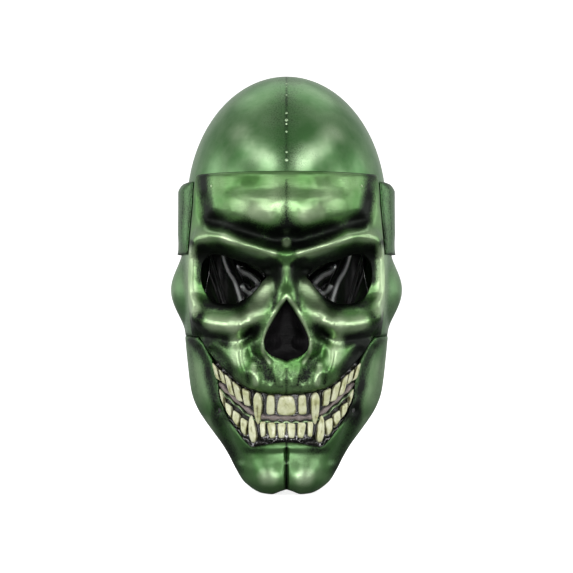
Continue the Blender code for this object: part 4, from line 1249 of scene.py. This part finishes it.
def make_nose_cavity():
    setback = SHELL_WALL / math.cos(NOSE_SLOPE) + FIT_GAP
    floor = NOSE_TOP - NOSE_HEIGHT

    def place(across, up):
        x = across * (NOSE_HALF_WIDTH + 2 * GUM_LAP)
        z = floor - 2 * GUM_LAP + (NOSE_HEIGHT + 4 * GUM_LAP) * (up + 1) / 2
        down = np.clip((NOSE_TOP - z) / NOSE_HEIGHT, 0.0, 1.0)
        half = NOSE_HALF_WIDTH * np.minimum(0.1 + 1.4 * down, 1.0)
        sunk = NOSE_DEPTH * swell(np.abs(x) / half, 4) * swell(np.abs(2 * down - 1), 8)
        from_nostril = np.hypot(np.abs(x) - NOSTRIL_PLACE[0], z - floor - NOSTRIL_PLACE[1])
        bud = NOSTRIL_SWELL * swell(from_nostril / NOSTRIL_RADIUS)
        ripple = 0.3 * MM * np.sin(np.abs(x) * 2400) * swell(from_nostril / (1.3 * NOSTRIL_RADIUS))
        return np.stack([x, -face_front(x, z) + setback + sunk - bud - ripple, z], axis=-1)

    def keep(points):
        return GUM_LAP - depth_in_outline(points[:, 0], points[:, 2], NOSE_LINE)

    bm = trimmed_sheet(70, 90, place, keep)
    walled_piece(bm, "nose_hollow", NOSE_BLACK, ["nose_cavity"], LINING_WALL)


# Small trim

def studs(name, places, radius, material):
    """Small domed studs, each given by its place and the outward direction there."""
    bm = bmesh.new()
    wash = bm.verts.layers.float.new("wash")
    polish = bm.verts.layers.float.new("polish")
    for place, outward, size in places:
        made = bmesh.ops.create_uvsphere(bm, u_segments=12, v_segments=8, radius=radius * size)["verts"]
        turn = Vector((0, 0, 1)).rotation_difference(Vector(outward).normalized()).to_matrix()
        for vert in made:
            vert.co.z *= 0.6
            # Each stud is painted nearly all bright: a painted glint.
            vert[wash] = 0.15
            vert[polish] = 0.9
        bmesh.ops.rotate(bm, verts=made, matrix=turn)
        bmesh.ops.translate(bm, verts=made, vec=Vector(place))
    mesh_object(bm, name, material)


def make_seam_studs():
    places = []
    for z, size in SEAM_STUDS:
        point = head_point(np.array(0.0), np.array(z))
        centre = float(head_section(np.array(z))[2])
        outward = (0.0, (point[1] - centre) / CROWN_HALF_LENGTH**2, (z - CROWN_BASE) / CROWN_RISE**2)
        places.append((point, outward, size))
    studs("seam_studs", places, SEAM_STUD_RADIUS, SHELL_GREEN)


def make_rivets():
    places = []
    across, z = RIVET_PLACE
    for x in (across, -across):
        width, length, centre = (float(value) for value in head_section(np.array(z)))
        y = centre - (length + FACE_STANDOFF) * math.sqrt(1 - (x / (width + FACE_STANDOFF)) ** 2)
        places.append(((x, y, z), (x / width**2, (y - centre) / length**2, 0.0), 1.0))
    studs("plate_rivets", places, RIVET_RADIUS, FACE_GREEN)


# Setting

def area_light(name, sideways, upwards, distance, width, height, radiance):
    """A softbox at these angles from the front and above the mask's middle, turned towards it."""
    data = bpy.data.lights.new(name, "AREA")
    data.shape = "RECTANGLE"
    data.size, data.size_y = width, height
    data.energy = math.pi * width * height * radiance
    light = add_object(name, data)
    az, el = math.radians(sideways), math.radians(upwards)
    away = Vector((math.sin(az) * math.cos(el), -math.cos(az) * math.cos(el), math.sin(el)))
    light.location = Vector(LIGHT_TARGET) + away * distance
    light.rotation_euler = (-away).to_track_quat("-Z", "Y").to_euler()


def pale_surface(name, glow_strength):
    """White where it is seen, and a grey of this brightness in the mask's reflections."""
    material, tree, shader = new_material(name)
    fill(tree, shader, {
        "Base Color": (0.25, 0.26, 0.25), "Roughness": 0.9,
        "Emission Color": (1, 1, 1), "Emission Strength": glow_strength,
    })
    seen = add_node(tree, "BsdfDiffuse", {"Color": (0.95, 0.95, 0.95)})
    glow = add_node(tree, "Emission", {"Strength": 0.80})
    bright = add_node(tree, "AddShader", {0: seen.outputs[0], 1: glow.outputs[0]})
    direct = tree.nodes.new("ShaderNodeLightPath").outputs["Is Camera Ray"]
    choice = add_node(tree, "MixShader", {0: direct, 1: shader.outputs[0], 2: bright.outputs[0]})
    fill(tree, tree.nodes["Material Output"], {"Surface": choice.outputs[0]})
    return material


def make_floor():
    """A pale floor that bends up into a wall behind the mask."""
    bm = bmesh.new()
    bmesh.ops.create_grid(bm, x_segments=1, y_segments=60, size=1.0)
    for vert in bm.verts:
        run = (vert.co.y + 1) / 2 * SWEEP_LENGTH
        past = run - FLOOR_RUN
        bend = min(max(past, 0.0) / SWEEP_RADIUS, math.pi / 2)
        vert.co.x *= SWEEP_HALF_WIDTH
        vert.co.y = FLOOR_FRONT + min(run, FLOOR_RUN) + SWEEP_RADIUS * math.sin(bend)
        vert.co.z = SWEEP_RADIUS * (1 - math.cos(bend)) + max(past - SWEEP_RADIUS * math.pi / 2, 0.0)
    bmesh.ops.recalc_face_normals(bm, faces=bm.faces)
    for face in bm.faces:
        face.material_index = 1 if face.calc_center_median().y > WALL_START else 0
    surfaces = (pale_surface("pale_floor", 0.0), pale_surface("pale_wall", 0.55))
    floor = add_object("floor_sweep", smooth_mesh(bm, "floor_sweep", *surfaces))
    floor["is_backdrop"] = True


def make_world():
    """Soft light all round, brightest high up behind the mask."""
    world = bpy.data.worlds.new("studio")
    world.use_nodes = True
    tree = world.node_tree
    around = tree.nodes.new("ShaderNodeTexCoord").outputs["Generated"]
    behind = add_node(tree, "VectorMath", {0: around, 1: (0.0, 0.75, 0.65)})
    behind.operation = "DOT_PRODUCT"
    strength = add_range(tree, behind.outputs["Value"], -0.7, 0.7, 0.07, 0.50)
    fill(tree, tree.nodes["Background"], {"Color": (1, 1, 1), "Strength": strength})
    bpy.context.scene.world = world


def make_setting():
    make_floor()
    make_world()
    for side in (-1, 1):
        for name, sideways, *place_and_size in SOFTBOXES:
            area_light(f"{name}_{side}", side * sideways, *place_and_size)
    area_light("backdrop", 180, 60, 1.4, 1.6, 0.8, 1.0)

    camera = add_object("camera", bpy.data.cameras.new("camera"))
    camera.data.sensor_width = 36
    camera.data.lens = CAMERA_LENS
    camera.location = CAMERA_PLACE
    camera.rotation_euler = (math.radians(90), 0.0, 0.0)
    bpy.context.scene.camera = camera
    bpy.context.scene.view_settings.view_transform = "Standard"


make_hood()
make_face()
make_jaw()
make_side_pads()
make_lining()
make_gums()
make_bite_strip()
make_gum_ridge()
make_teeth()
make_nose_cavity()
make_seam_studs()
make_rivets()
make_setting()

[[list(corner) for corner in box] for box in (cad_box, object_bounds())]
